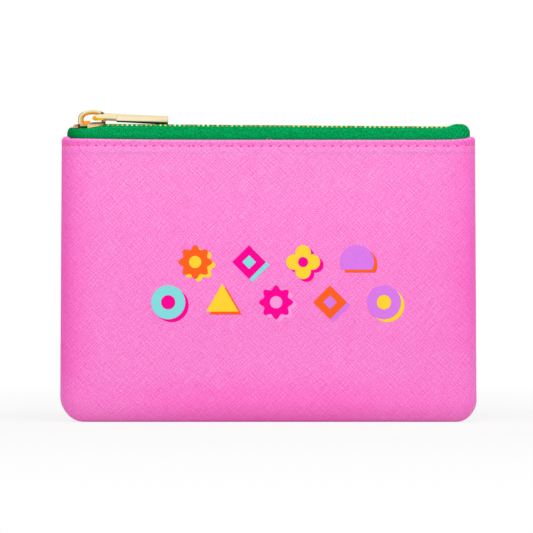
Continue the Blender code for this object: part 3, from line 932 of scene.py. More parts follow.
@dataclass(frozen=True)
class FloorPaper(Finish):
    """Pale paper under the pouch, white to the eye but still holding a shadow."""

    name: str = "pale_floor_paper"
    colour: str = "dcdcdc"
    near_glow: float = 0.8
    near: float = 0.16
    far: float = 0.5

    def paint(self, graph: Graph) -> bpy.types.Material:
        """Mix matt paper with white for the rays that show the background.

        Args:
            graph: the material's nodes.

        Returns:
            The material.
        """
        fibre = graph.noise(graph.turned(graph.object(), (0.0, 0.0, 0.0), (4 * MM,) * 3))
        stops = [(0.3, linear(self.colour)), (0.7, linear("e2e2e2"))]
        graph.dress(Base_Color=graph.ramp(fibre, stops), Roughness=0.9, Specular_IOR_Level=0.0)
        seen = shown_rays(graph)
        away = graph.add("VectorMath", {0: graph.object()}, operation="LENGTH").outputs["Value"]
        reach = {0: away, 1: self.near, 2: self.far, 3: self.near_glow, 4: 1.0}
        glow = graph.add("MapRange", reach).outputs[0]
        share = graph.sum("MULTIPLY", seen, glow)
        white = graph.add("Emission", {"Color": (1.0, 1.0, 1.0), "Strength": 1.0})
        both = graph.add("MixShader", {0: share, 1: graph.shader.outputs[0], 2: white.outputs[0]})
        output = graph.tree.nodes["Material Output"]
        graph.tree.links.new(both.outputs[0], output.inputs["Surface"])
        return graph.material


def shown_rays(graph: "Graph | WorldGraph") -> bpy.types.NodeSocket:
    """Give 1 for the rays that show the background, to the eye, in metal or through glass.

    Args:
        graph: the nodes to add to.

    Returns:
        The share.
    """
    path = graph.add("LightPath").outputs
    seen = graph.sum("MAXIMUM", path["Is Camera Ray"], path["Is Glossy Ray"])
    return graph.sum("MAXIMUM", seen, path["Is Transmission Ray"])


class WorldGraph(Graph):
    """The nodes of the world."""

    def __init__(self, world: bpy.types.World) -> None:
        """Start from the world's own nodes.

        Args:
            world: the scene's world.
        """
        world.use_nodes = True
        self.tree = world.node_tree
        self.shader = self.tree.nodes["Background"]


LEATHERETTE = Leatherette()
TAPE_CLOTH = WovenTape()
LINING_CLOTH = LiningCloth()
PINK_THREAD = Yarn("pink_sewing_thread", "f56cc4", "ffa2e2")
TAN_THREAD = Yarn("tan_tack_thread", "b0544e", "de8c84")
# painted shade of the needle holes
HOLE_SHADE = Yarn("needle_hole_shade", "f23aa6", "ff5abc")
# deep and dark below are the tones of painted reflections and painted shade
TOOTH_METAL = Metal(
    "brass_teeth", "cc9444", "f0cc5e", "fdf0c0", 0.22, 0.34, 2.0 * MM, 2.62 * MM, deep="efc64c", dark="2c2408"
)
STOP_METAL = Metal(
    "copper_stop_metal", "c66c40", "f0b486", "fcdab2", 0.2, 0.35, 1.2 * MM, deep="e8683c", dark="4a2410"
)
SLIDER_METAL = Metal(
    "gold_slider_plating", "dcb77c", "f1dba8", "fdf3d0", 0.14, 0.24, 2.5 * MM, deep="ffaa1c", dark="6a4514"
)
CROWN_METAL = Metal(
    "gold_crown_plating", "e9cf98", "faeabc", "fffae2", 0.12, 0.22, 3.0 * MM, deep="f8b440", dark="5c4a18"
)
LINK_METAL = Metal(
    "gold_link_plating", "f3deac", "f9ebc2", "fff4ce", 0.1, 0.18, 6.0 * MM, deep="ffc628", dark="8a5c1c"
)
BAR_METAL = Metal(
    "gold_bar_plating", "f6e2b8", "fcedc6", "fff6d2", 0.1, 0.18, 9.0 * MM, deep="e6c890", dark="0c3c0c"
)
PIN_METAL = Metal("gold_pin_plating", "f09c14", "fdb41c", "ffc838", 0.15, 0.25, 1.5 * MM)


# Pieces


def add_piece(
    name: str,
    mesh: bpy.types.Mesh,
    finish: Finish,
    body: str,
    replaced: Sequence[str] = (),
) -> bpy.types.Object:
    """Link a mesh as a piece that rides on a body of the frame.

    Args:
        name: the piece's name.
        mesh: its mesh, already in place.
        finish: what it wears.
        body: the body that carries it.
        replaced: solids that the piece stands for.

    Returns:
        The piece.
    """
    piece = bpy.data.objects.new(name, mesh)
    mesh.name = name
    bpy.context.scene.collection.objects.link(piece)
    mesh.materials.clear()
    mesh.materials.append(finish.material())
    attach(piece, body)
    if replaced:
        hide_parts(*replaced)
    return piece


def add_wall(piece: bpy.types.Object, thickness: float, offset: float = -1.0) -> None:
    """Give a sheet its thickness.

    Args:
        piece: the sheet.
        thickness: how thick it gets.
        offset: where the wall lies, from -1 to 1.
    """
    wall = piece.modifiers.new("wall", "SOLIDIFY")
    wall.thickness = thickness
    wall.offset = offset
    wall.use_even_offset = False


# The pouch


class Column(NamedTuple):
    """A line up the pouch: which side, how far in from the seam and its share of the depth."""

    side: float
    distance: float
    share: float
    run: float


class Row(NamedTuple):
    """A line across the pouch: its height, shares of depth, inset and run along the cloth."""

    height: float
    stand: float
    roll: float
    inset: float
    run: float


@dataclass(frozen=True)
class PouchShape:
    """The outer skin of the pouch."""

    width: float = 229.6 * MM
    mouth_width: float = 227.9 * MM
    lip_height: float = 154.7 * MM
    lip_end_rise: tuple[Pair, Pair] = ((0.95 * MM, 3.0), (2.3 * MM, 23.0))
    lip_corner: float = 1.6 * MM
    corner_lift: Pair = (1.15 * MM, 0.2 * MM)
    corner_lift_reach: float = 4.2 * MM
    corner_radius: Pair = (14.0 * MM, 12.0 * MM)
    belly_half_depth: float = 10.5 * MM
    belly_crown: float = 1.5 * MM
    belly_height: float = 60.0 * MM
    lip_half_depth: float = 8.85 * MM
    hem_bottom: float = 146.7 * MM
    stand_half_width: float = 6.0 * MM
    side_roll: float = 10.0 * MM
    bottom_roll: float = 12.0 * MM
    seam_gap: float = 0.02 * MM
    seam_depth: float = 0.8 * MM
    seam_reach: float = 1.3 * MM

    def lip_rise(self, across: float) -> float:
        """Give how far the mouth edge rises at one share of the half width, left of 0 or right."""
        size, power = self.lip_end_rise[across > 0]
        return size * abs(across) ** power

    def half_depth(self, height: float, across: float) -> float:
        """Give the distance from the seam plane to the outside, clear of the rolled edges.

        Args:
            height: the height above the ground.
            across: the share of the half width.

        Returns:
            The distance.
        """
        upper = smooth((height - self.belly_height) / (self.hem_bottom - self.belly_height))
        crown = self.belly_crown * (1.0 - across**2) * (1.0 - upper)
        return mix(self.belly_half_depth, self.lip_half_depth, upper) + crown

    def columns(self, inset: float, step: float) -> list[Column]:
        """List the lines up the pouch.

        Args:
            inset: how far the sheet lies inside the skin.
            step: the distance between lines on the flat.

        Returns:
            The columns, left to right.
        """
        roll = self.side_roll - inset
        edge = []
        for degrees in (0, 2, 4, 6, 9, 12, 16, 21, 27, 34, 41, 48, 55, 62, 69, 76, 83, 90):
            angle = math.radians(degrees)
            edge.append((roll * (1.0 - math.cos(angle)), math.sin(angle), roll * angle))
        start, _, run = edge[-1]
        flat = steps(start, self.width / 2 - inset, step)[1:]
        edge += [(distance, 1.0, run + distance - start) for distance in flat]
        whole = edge[-1][2]
        left = [Column(-1.0, d, s, r) for d, s, r in edge]
        right = [Column(1.0, d, s, 2 * whole - r) for d, s, r in reversed(edge[:-1])]
        return left + right

    def rows(self, inset: float, step: float, top: float) -> list[Row]:
        """List the lines across the pouch, from the bottom seam up to a height.

        Args:
            inset: how far the sheet lies inside the skin.
            step: the distance between lines on the flat.
            top: the last line's height.

        Returns:
            The rows, from the seam up.
        """
        roll = self.bottom_roll - inset
        rows = [
            Row(inset, share, 0.0, inset, share * self.stand_half_width)
            for share in (0.0, 0.04, 0.08, 0.13, 0.19, 0.28, 0.45, 0.65, 0.85, 1.0)
        ]
        for degrees in (8, 16, 24, 32, 41, 50, 59, 68, 77, 84, 90):
            angle = math.radians(degrees)
            height = inset + roll * (1.0 - math.cos(angle))
            run = self.stand_half_width + roll * angle
            rows.append(Row(height, 1.0, math.sin(angle), inset, run))
        start, run = rows[-1].height, rows[-1].run
        rows += [
            Row(height, 1.0, 1.0, inset, run + height - start)
            for height in steps(start, top, step)[1:]
        ]
        return rows

    def point(self, column: Column, row: Row, relief: float = 0.0) -> Point:
        """Place one point of the front, raised by a relief.

        Args:
            column: the line up the pouch.
            row: the line across it.
            relief: how far the point stands out of the skin.

        Returns:
            x, the distance from the seam plane, and z.
        """
        inset = row.inset - relief
        taper = clamp(row.height / self.lip_height)
        half_width = mix(self.width, self.mouth_width, taper) / 2 - inset
        x = half_width * (1.0 - column.distance / (self.width / 2 - row.inset))
        across = x / half_width
        depth = self.half_depth(row.height, across) - inset
        stand = self.stand_half_width
        reach = mix(self.seam_gap, stand, row.stand) + (depth - stand) * row.roll
        y = mix(self.seam_gap, reach, column.share)
        seam = self.seam_depth * (1.0 - smooth(y / self.seam_reach))
        radius = self.corner_radius[column.side > 0] - inset
        centre_x, centre_z = half_width - radius, inset + radius
        z = row.height
        if x > centre_x and z < centre_z:
            a, b = (x - centre_x) / radius, (centre_z - z) / radius
            x = centre_x + radius * a * math.sqrt(1.0 - b * b / 2.0)
            z = centre_z - radius * b * math.sqrt(1.0 - a * a / 2.0)
        on_edge = clamp(1.0 - column.distance / self.side_roll)
        x -= seam * on_edge
        z += seam * (1.0 - smooth(row.height / self.bottom_roll))
        hem = clamp((row.height - self.hem_bottom) / (self.lip_height - self.hem_bottom))
        z += self.lip_rise(column.side * across) * hem
        near_corner = smooth(2.0 * (1.0 - column.distance / self.corner_lift_reach))
        z += self.corner_lift[column.side > 0] * near_corner * hem**2
        z -= self.lip_corner * (1.0 - round_over(column.distance, self.lip_corner)) * hem
        return column.side * x, y, z

    def on_front(self, x: float, z: float, lift: float) -> Point:
        """Place a point on the flat of the front, lifted off the skin.

        Args:
            x: the place across.
            z: the height.
            lift: how far it stands off the skin.

        Returns:
            x, the distance from the seam plane, and z.
        """
        half_width = mix(self.width, self.mouth_width, clamp(z / self.lip_height)) / 2
        across = x / half_width
        hem = clamp((z - self.hem_bottom) / (self.lip_height - self.hem_bottom))
        depth = self.half_depth(z, across) + lift
        return x, depth, z + self.lip_rise(across) * hem


SHAPE = PouchShape()


@dataclass
class Panels:
    """The two outer panels, each a coated sheet whose mouth edge is turned in to a hem."""

    thickness: float = 0.95 * MM
    step: float = 1.0 * MM
    fold_radius: float = 1.17 * MM
    flap_bottom: float = 147.2 * MM
    stitch_height: float = 151.3 * MM
    groove_depth: float = 0.27 * MM
    groove_reach: Pair = (1.1 * MM, 2.7 * MM)
    puff: float = 0.2 * MM
    ripple_size: float = 34.0 * MM
    ripple_depth: float = 0.22 * MM
    pucker_pitch: float = 5.4 * MM
    pucker_depth: float = 0.03 * MM
    rim_reach: float = 26.0 * MM
    # painted shade at each side: its strength, the height where it begins to grow and how far up it grows
    side_shade: tuple[Point, Point] = ((0.8, 8 * MM, 26 * MM), (0.68, 12 * MM, 64 * MM))

    def relief(self, side: Side, run: float, height: float) -> float:
        """Give how far the cloth stands out of the plain skin.

        Args:
            side: which panel.
            run: the cloth's length round to the point.
            height: the point's height.

        Returns:
            The relief.
        """
        soft = ripple(run + side * 0.5, height, self.ripple_size) * self.ripple_depth
        off_stitch = height - self.stitch_height
        reach = self.groove_reach[off_stitch > 0]
        groove = self.groove_depth * (1.0 - smooth(abs(off_stitch) / reach))
        in_hem = smooth((height - SHAPE.hem_bottom) / (1.5 * MM))
        return soft * (1.0 - 0.6 * in_hem) + self.puff * in_hem - groove

    def hem_rows(self, rows: list[Row]) -> list[Row]:
        """Carry the rows over the lip and down inside as the hem's flap.

        Args:
            rows: the rows up to the fold.

        Returns:
            The same rows and the hem's.
        """
        radius = self.fold_radius
        run = rows[-1].run
        for degrees in (20, 40, 60, 80, 100, 120, 140, 160, 180):
            angle = math.radians(degrees)
            height = SHAPE.lip_height - radius + radius * math.sin(angle)
            inset = radius * (1.0 - math.cos(angle))
            rows.append(Row(height, 1.0, 1.0, inset, run + radius * angle))
        start, run = rows[-1].height, rows[-1].run
        rows += [
            Row(height, 1.0, 1.0, 2 * radius, run + start - height)
            for height in steps(start, self.flap_bottom, 1.5 * MM)[1:]
        ]
        return rows

    def build(self, side: Side) -> bpy.types.Mesh:
        """Build one panel's sheet.

        Args:
            side: which panel.

        Returns:
            The sheet.
        """
        columns = SHAPE.columns(0.0, self.step)
        top = SHAPE.lip_height - self.fold_radius
        rows = SHAPE.rows(0.0, 1.4 * MM, SHAPE.hem_bottom - 3.0 * MM)
        run, start = rows[-1].run, rows[-1].height
        rows += [
            Row(height, 1.0, 1.0, 0.0, run + height - start)
            for height in steps(start, top, 0.55 * MM)[1:]
        ]
        rows = self.hem_rows(rows)

        def place(column: Column, row: Row) -> Point:
            """Place one point of the panel, with its relief.

            Args:
                column: the line up the panel.
                row: the line across it.

            Returns:
                The point.
            """
            flat = column.share * row.roll * row.stand
            inside = clamp(row.inset / self.fold_radius)
            relief = self.relief(side, column.run, row.height) * flat * (1.0 - inside)
            wander = ripple(row.run, 0.2, 9 * MM) * 2 * MM
            pucker = math.sin(math.tau * (row.height + wander) / self.pucker_pitch)
            near = clamp(1.0 - column.distance / (4 * MM)) * clamp(row.height / (8 * MM)) * (1.0 - inside)
            relief += pucker * self.pucker_depth * near * smooth(column.share * 4.0)
            x, y, z = SHAPE.point(column, row, relief)
            return x, side * max(y, SHAPE.seam_gap), z

        mesh = sheet(
            side.word + "_panel", columns, rows, place, lambda c, r: (c.run, r.run), side is Side.BACK
        )
        # painted shade at the rolled sides, the bottom and the hem
        tint(mesh, "rolled", self.rolled)
        return mesh

    def rolled(self, place: Vector) -> float:
        """Give the share of painted shade at the rolled sides, along the bottom, below the hem and on the hem
        round the stitches.

        Args:
            place: the point.

        Returns:
            The share.
        """
        across = abs(place.x)
        off_side = clamp((SHAPE.width / 2 - across) / self.rim_reach)
        low = 1.0 - smooth((place.z - 8 * MM) / (24 * MM))
        most, start, reach = self.side_shade[place.x >= 0]
        lower = 1.0 - smooth((place.z - start) / reach)
        cornered = smooth((across - 30 * MM) / (75 * MM))
        side = most * (1.0 - off_side) ** 1.6 * (1.0 - 0.68 * lower)
        side += 0.1 * smooth((place.x - 58 * MM) / (32 * MM)) * off_side
        up = place.z - SHAPE.lip_rise(place.x / (SHAPE.width / 2))
        below = 0.1 * (1.0 - smooth((up - 145 * MM) / (4 * MM))) + 0.16 * smooth((145 * MM - up) / (60 * MM))
        hem = 0.38 * smooth((up - 150.4 * MM) / (0.9 * MM)) * (1.0 - smooth((up - 152.9 * MM) / MM))
        return side + 0.42 * low * (1.0 - 0.75 * cornered) + below + hem

    def dress(self) -> None:
        """Add both panels as pieces."""
        for side in Side:
            mesh = self.build(side)
            name = side.word + "_panel_leatherette"
            piece = add_piece(name, mesh, LEATHERETTE, "pouch", [side.word + "_panel"])
            add_wall(piece, self.thickness)


@dataclass
class Linings:
    """The two lining sheets, just inside the panels."""

    inset: float = 1.3 * MM
    thickness: float = 0.45 * MM
    step: float = 3.5 * MM
    top: float = 144.9 * MM

    def build(self, side: Side) -> bpy.types.Mesh:
        """Build one lining's sheet.

        Args:
            side: which lining.

        Returns:
            The sheet.
        """
        columns = SHAPE.columns(self.inset, self.step)
        rows = SHAPE.rows(self.inset, self.step, self.top)

        def place(column: Column, row: Row) -> Point:
            """Place one point of the lining, a little slack.

            Args:
                column: the line up the lining.
                row: the line across it.

            Returns:
                The point.
            """
            slack = ripple(column.run, row.run, 26 * MM) * 0.2 * MM * column.share * row.roll
            x, y, z = SHAPE.point(column, row, -abs(slack))
            return x, side * max(y, SHAPE.seam_gap), z

        name = side.word + "_lining"
        return sheet(name, columns, rows, place, lambda c, r: (c.run, r.run), side is Side.BACK)

    def dress(self) -> None:
        """Add both linings as pieces."""
        for side in Side:
            name = side.word + "_lining_cloth"
            nodes = [side.word + "_lining"]
            piece = add_piece(name, self.build(side), LINING_CLOTH, "pouch", nodes)
            add_wall(piece, self.thickness)


def run_at(x: float) -> float:
    """Give the run along the cloth at one place of the flat front."""
    return SHAPE.width / 2 + (math.pi / 2 - 1.0) * SHAPE.side_roll + x


@dataclass
class Topstitch:
    """The row of stitches along each hem, with its needle holes drawn as painted shade, and the tacks at its
    ends.
    """

    panels: Panels
    height: float = 151.3 * MM
    pitch: float = 4.75 * MM
    scatter: float = 0.42 * MM
    skip_share: float = 0.07
    reach: Pair = (-104.0 * MM, 108.7 * MM)
    thread_radius: float = 0.2 * MM
    hole_half: Pair = (0.72 * MM, 0.4 * MM)
    tacks_at: tuple[Pair, ...] = (
        (-113.2 * MM, -111.2 * MM), (-110.8 * MM, -109.0 * MM), (-108.1 * MM, -106.3 * MM),
        (109.3 * MM, 110.9 * MM), (111.4 * MM, 113.3 * MM),
    )
    tack_radius: float = 0.24 * MM

    def holes(self, side: Side) -> list[float]:
        """List where the needle went through, along x.

        Args:
            side: which hem.

        Returns:
            Each hole's x.
        """
        dice = random.Random(SEED + side)
        xs, x = [], self.reach[0]
        while x < self.reach[1]:
            xs.append(x)
            step = self.pitch + dice.uniform(-self.scatter, self.scatter)
            x += step / 2 if dice.random() < self.skip_share else step
        return xs

    def surface(self, side: Side, x: float, lift: float) -> Vector:
        """Place a point on the floor of the stitch groove, round to the seam.

        Args:
            side: which hem.
            x: the place along it.
            lift: how far it stands off the groove.

        Returns:
            The point.
        """
        across, depth, z = SHAPE.on_front(x, self.height, 0.0)
        distance = SHAPE.mouth_width / 2 - abs(x)
        depth *= round_over(distance, SHAPE.side_roll)
        depth += self.panels.relief(side, run_at(x), self.height)
        return Vector((across, side * (depth + lift), z))

    def stitches(self, side: Side) -> bpy.types.Mesh:
        """Build the thread between each pair of holes.

        Args:
            side: which hem.

        Returns:
            The thread.
        """
        strands = []
        xs = self.holes(side)
        for a, b in zip(xs, xs[1:]):
            path = []
            for share in (0.0, 0.08, 0.2, 0.35, 0.5, 0.65, 0.8, 0.92, 1.0):
                lift = mix(-0.3 * MM, 0.0, math.sin(math.pi * share) ** 0.5)
                path.append(self.surface(side, mix(a, b, share), lift))
            strands.append(tube("stitch", path, [self.thread_radius] * len(path), Vector((0, 0, 1)), 6))
        return joined(side.word + "_hem_stitches", strands)

    def hole_shades(self, side: Side) -> bpy.types.Mesh:
        """Build the painted shade of the needle holes, as flat dark discs just off the groove.

        Args:
            side: which hem.

        Returns:
            The dimples.
        """
        bm = bmesh.new()
        bm.loops.layers.uv.new(CLOTH_MAP)
        for x in self.holes(side):
            place = Matrix.Translation(self.surface(side, x, 0.17 * MM)) @ Matrix.Rotation(
                math.radians(-90.0 * side), 4, "X"
            )
            dot = bmesh.ops.create_circle(bm, cap_ends=True, segments=12, radius=1.0)["verts"]
            size = Matrix.Diagonal((self.hole_half[0], self.hole_half[1], 1.0, 1.0))
            bmesh.ops.transform(bm, matrix=place @ size, verts=dot)
        return to_mesh(side.word + "_needle_holes", bm)

    def tacks(self, side: Side) -> bpy.types.Mesh:
        """Build the short tight stitches of tan thread at the ends of the seam.

        Args:
            side: which hem.

        Returns:
            The stitches.
        """
        strands = []
        for a, b in self.tacks_at:
            path = []
            for share in (0.0, 0.15, 0.35, 0.5, 0.65, 0.85, 1.0):
                lift = mix(-0.22 * MM, 0.12 * MM, math.sin(math.pi * share) ** 0.5)
                path.append(self.surface(side, mix(a, b, share), lift))
            strands.append(tube("tack", path, [self.tack_radius] * len(path), Vector((0, 0, 1)), 8))
        return joined(side.word + "_end_tacks", strands)

    def dress(self) -> None:
        """Add the thread, the painted shade of the holes and the tacks of both hems."""
        for side in Side:
            word = side.word
            add_piece(word + "_hem_stitches", self.stitches(side), PINK_THREAD, "pouch",
                      [word + "_topstitch"])
            # painted shade of the needle holes, as dark discs
            shades = self.hole_shades(side)
            holes = add_piece(word + "_needle_holes", shades, HOLE_SHADE, "pouch")
            add_wall(holes, 0.04 * MM)
            add_piece(word + "_end_tacks", self.tacks(side), TAN_THREAD, "pouch")


# The zip


@dataclass(frozen=True)
class ZipLine:
    """The zip's own line, and how its rows part round the slider's wedge."""

    ridge: float = 162.2 * MM
    fall_degrees: float = 0.44
    left: float = -110.6 * MM
    right: float = 110.9 * MM
    chain_right: float = 97.9 * MM
    tooth_pitch: float = 2.62 * MM
    first_tooth: float = -103.85 * MM
    half_width: float = 2.7 * MM
    slider_centre: float = -97.15 * MM
    slider_tilt: float = -3.0
    stop_left: float = -107.85 * MM
    stop_right: float = -104.85 * MM
    bottom_stop: Pair = (98.2 * MM, 101.0 * MM)
    wedge_length: float = 4.6 * MM
    nose_radius: float = 2.6 * MM
    parted: float = 1.2 * MM
    sunk: float = 0.45 * MM
    pin_ahead: float = 1.4 * MM
    pin_height: float = 4.0 * MM
    pull_droop: float = 1.85

    def line(self) -> Matrix:
        """Give the place of the zip's line."""
        return Matrix.Translation((0.0, 0.0, self.ridge)) @ turn_y(self.fall_degrees)

    def slider(self) -> Matrix:
        """Give the place of the slider."""
        return self.line() @ Matrix.Translation((self.slider_centre, 0.0, 0.0)) @ turn_y(self.slider_tilt)

    def pull(self) -> Matrix:
        """Give the place of the pull's pin."""
        pin = (self.slider_centre + self.pin_ahead, 0.0, self.pin_height)
        return self.line() @ Matrix.Translation(pin) @ turn_y(self.pull_droop)

    def shift(self, x: float) -> float:
        """Give how far each row stands off its closed place.

        Args:
            x: the place along the zip.

        Returns:
            The distance.
        """
        opening = smooth((self.slider_centre + self.wedge_length / 2 - x) / self.wedge_length)
        closing = smooth((x - self.stop_right) / self.nose_radius)
        return self.parted * opening * closing

    def sink(self, x: float) -> float:
        """Give how far the rows lie below the line, where the slider's nose bears on them."""
        return self.sunk * clamp((-96.0 * MM - x) / (8.0 * MM))


def turn_y(degrees: float) -> Matrix:
    """Give a turn about Y, which takes the right end down."""
    return Matrix.Rotation(math.radians(degrees), 4, "Y")


ZIP = ZipLine()


@dataclass
class Tapes:
    """The two woven tapes, from inside the hems up and over to the chain, and their corded edges."""

    thickness: float = 0.5 * MM
    wall: float = 6.2 * MM
    flat: float = 5.2 * MM
    bend: float = 1.0 * MM
    lip: float = -7.3 * MM
    low: float = -15.0 * MM
    pinch: float = 9.0 * MM
    left_corner: float = 1.8 * MM
    right_corner: float = 5.0 * MM
    fold_rise: float = 1.95 * MM
    fold_dip: float = 2.0 * MM
    fold_start: float = 94.8 * MM
    fold_length: float = 8.8 * MM
    free_edge: float = 2.05 * MM
    shoulder: tuple[Pair, ...] = (
        (-110.4 * MM, 2.6 * MM), (-109.6 * MM, 1.85 * MM), (-108.4 * MM, 1.45 * MM), (-107.6 * MM, 1.7 * MM),
        (-106.2 * MM, 2.4 * MM), (-104.6 * MM, 2.3 * MM),
        (-99.6 * MM, 2.05 * MM), (-96.6 * MM, 1.78 * MM), (-93.5 * MM, 1.2 * MM), (-90.5 * MM, 0.6 * MM),
        (94.8 * MM, 0.58 * MM), (103.6 * MM, 0.0),
    )
    shoulder_from: tuple[Pair, ...] = (
        (-107.9 * MM, -1.0 * MM), (-107.0 * MM, 1.0 * MM), (-104.0 * MM, 1.2 * MM), (-102.6 * MM, 3.3 * MM),
        (-98.4 * MM, 3.3 * MM), (-94.4 * MM, 2.7 * MM), (-91.2 * MM, 2.7 * MM), (-89.9 * MM, 2.2 * MM),
    )
    shoulder_reach: float = 0.9 * MM
    cord_radius: float = 0.9 * MM
    cord_place: float = 1.72 * MM
    wave: float = 0.16 * MM

    def top(self, x: float, free: float) -> float:
        """Give how far the tape rises or falls at its ends.

        Args:
            x: the place along the zip.
            free: the share to the free edge.

        Returns:
            The rise.
        """
        folded = smooth((x - self.fold_start) / self.fold_length)
        rise = (self.fold_rise - self.fold_dip * free) * folded
        left = self.left_corner * (round_over(x - ZIP.left, self.left_corner) - 1.0)
        right = self.right_corner * (round_over(ZIP.right - x, self.right_corner) - 1.0)
        return rise + left + right

    def edge(self, x: float) -> float:
        """Give the distance of the free edge from the middle of the chain.

        Args:
            x: the place along the zip.

        Returns:
            The distance.
        """
        opened = smooth((x - ZIP.stop_left + 0.6 * MM) / (0.6 * MM))
        closed = smooth((x - ZIP.bottom_stop[1]) / (2.0 * MM))
        return mix(0.08 * MM, self.free_edge + ZIP.shift(x), opened * (1.0 - closed))

    def drop(self, x: float, depth: float) -> float:
        """Give how far the tape hangs below the zip's line, at one distance from its middle."""
        beyond = smooth((depth - along(self.shoulder_from, x)) / self.shoulder_reach)
        return mix(ZIP.sink(x), along(self.shoulder, x), beyond)

    def rows(self) -> list[tuple[float, float, float, float]]:
        """List the lines along the tape as depth, height, share to the free edge and run.

        Returns:
            The lines, from inside the hem to the free edge.
        """
        points = [(self.wall, z, 0.0) for z in steps(self.low, self.lip, 2.5 * MM)]
        points += [(self.wall, z, 0.0) for z in steps(self.lip, -self.bend, 0.7 * MM)[1:]]
        for degrees in range(9, 91, 9):
            angle = math.radians(degrees)
            points.append((self.flat + self.bend * math.cos(angle), self.bend * (math.sin(angle) - 1.0), 0.0))
        points += [(self.flat, 0.0, share) for share in steps(0.0, 1.0, 0.1)[1:]]
        rows, run = [], 0.0
        for i, (depth, height, free) in enumerate(points):
            if i:
                before = points[i - 1]
                run += math.hypot(depth - before[0], height - before[1]) + (free - before[2]) * 3.2 * MM
            rows.append((depth, height, free, run))
        return rows

    def build(self, side: Side) -> bpy.types.Mesh:
        """Build one tape's sheet, which drops off its shoulder outside the slider's flanges.

        Args:
            side: which tape.

        Returns:
            The sheet.
        """
        pinch = [self.pinch * (1.0 - math.cos(math.radians(a))) for a in range(0, 91, 6)]
        columns = [ZIP.left + d for d in pinch]
        columns += steps(columns[-1], ZIP.right - self.pinch, 1.0 * MM)[1:-1]
        columns += [ZIP.right - d for d in reversed(pinch)]

        def place(x: float, row: tuple[float, float, float, float]) -> Point:
            """Place one point of the tape.

            Args:
                x: the place along the zip.
                row: the line along the tape.

            Returns:
                The point.
            """
            depth, height, free, _ = row
            gather = round_over(x - ZIP.left, self.pinch) * round_over(ZIP.right - x, self.pinch)
            above = clamp((height - self.lip) / -self.lip)
            sway = ripple(x, side * 0.3, 13 * MM) * self.wave
            sway = sway * math.sin(math.pi * clamp(above)) * (1.0 - free)
            y = mix(0.08 * MM, depth + sway, gather)
            y += (min(self.edge(x), y) - y) * free
            drop = above * self.drop(x, y)
            z = height + self.top(x, free * gather) * above - drop
            return x, side * y, z

        name = side.word + "_tape"
        mesh = sheet(name, columns, self.rows(), place, lambda x, row: (x, row[3]), side is Side.BACK)
        # painted shade on the tape
        tint(mesh, "shade", self.shade)
        mesh.transform(ZIP.line())
        return mesh

    def shade(self, place: Vector) -> float:
        """Give the share of painted shade at the left end, down by the hem, as a shadow along the top of the
        shoulder under the teeth, and under the slider.

        Args:
            place: the point.

        Returns:
            The share.
        """
        left = 1.0 - clamp((place.x - ZIP.left) / (11 * MM))
        low = 1.0 - clamp((place.z - self.lip) / (2.2 * MM))
        off_top = (place.z + along(self.shoulder, place.x) + 0.15 * MM) / (0.35 * MM)
        teeth_shadow = 0.5 * math.exp(-off_top**2) * (1.0 - smooth((place.x - 88 * MM) / (8 * MM)))
        return max(0.72 * left + 0.45 * low, teeth_shadow, self.under_slider(place))

    def under_slider(self, place: Vector) -> float:
        """Give the share of painted shade in the gap under the slider's nose at rest.

        Args:
            place: the point.

        Returns:
            The share.
        """
        past_stop = smooth((place.x - ZIP.stop_right) / MM)
        inside = smooth((place.z + 2.1 * MM) / (0.3 * MM)) * (1.0 - smooth((place.x + 98.0 * MM) / MM))
        return past_stop * inside

    def cord(self, side: Side) -> bpy.types.Mesh:
        """Build the corded edge that the teeth grip.

        Args:
            side: which tape.

        Returns:
            The cord.
        """
        xs = steps(ZIP.stop_left + 1.1 * MM, ZIP.bottom_stop[1], 0.9 * MM)
        path = [Vector((x, side * (self.cord_place + ZIP.shift(x)), -ZIP.sink(x))) for x in xs]
        radii = [self.cord_radius * (1.0 + 0.05 * math.sin(math.tau * x / (1.3 * MM))) for x in xs]
        mesh = tube(side.word + "_cord", path, radii, Vector((0, 0, 1)), 10)
        # painted shade on the cord under the slider's nose
        tint(mesh, "shade", self.under_slider)
        mesh.transform(ZIP.line())
        return mesh

    def dress(self) -> None:
        """Add both tapes and their cords."""
        for side in Side:
            word = side.word
            mesh, nodes = self.build(side), [word + "_tape"]
            piece = add_piece(word + "_tape_weave", mesh, TAPE_CLOTH, "pouch", nodes)
            add_wall(piece, self.thickness, 0.0)
            add_piece(word + "_tape_cord", self.cord(side), TAPE_CLOTH, "pouch")


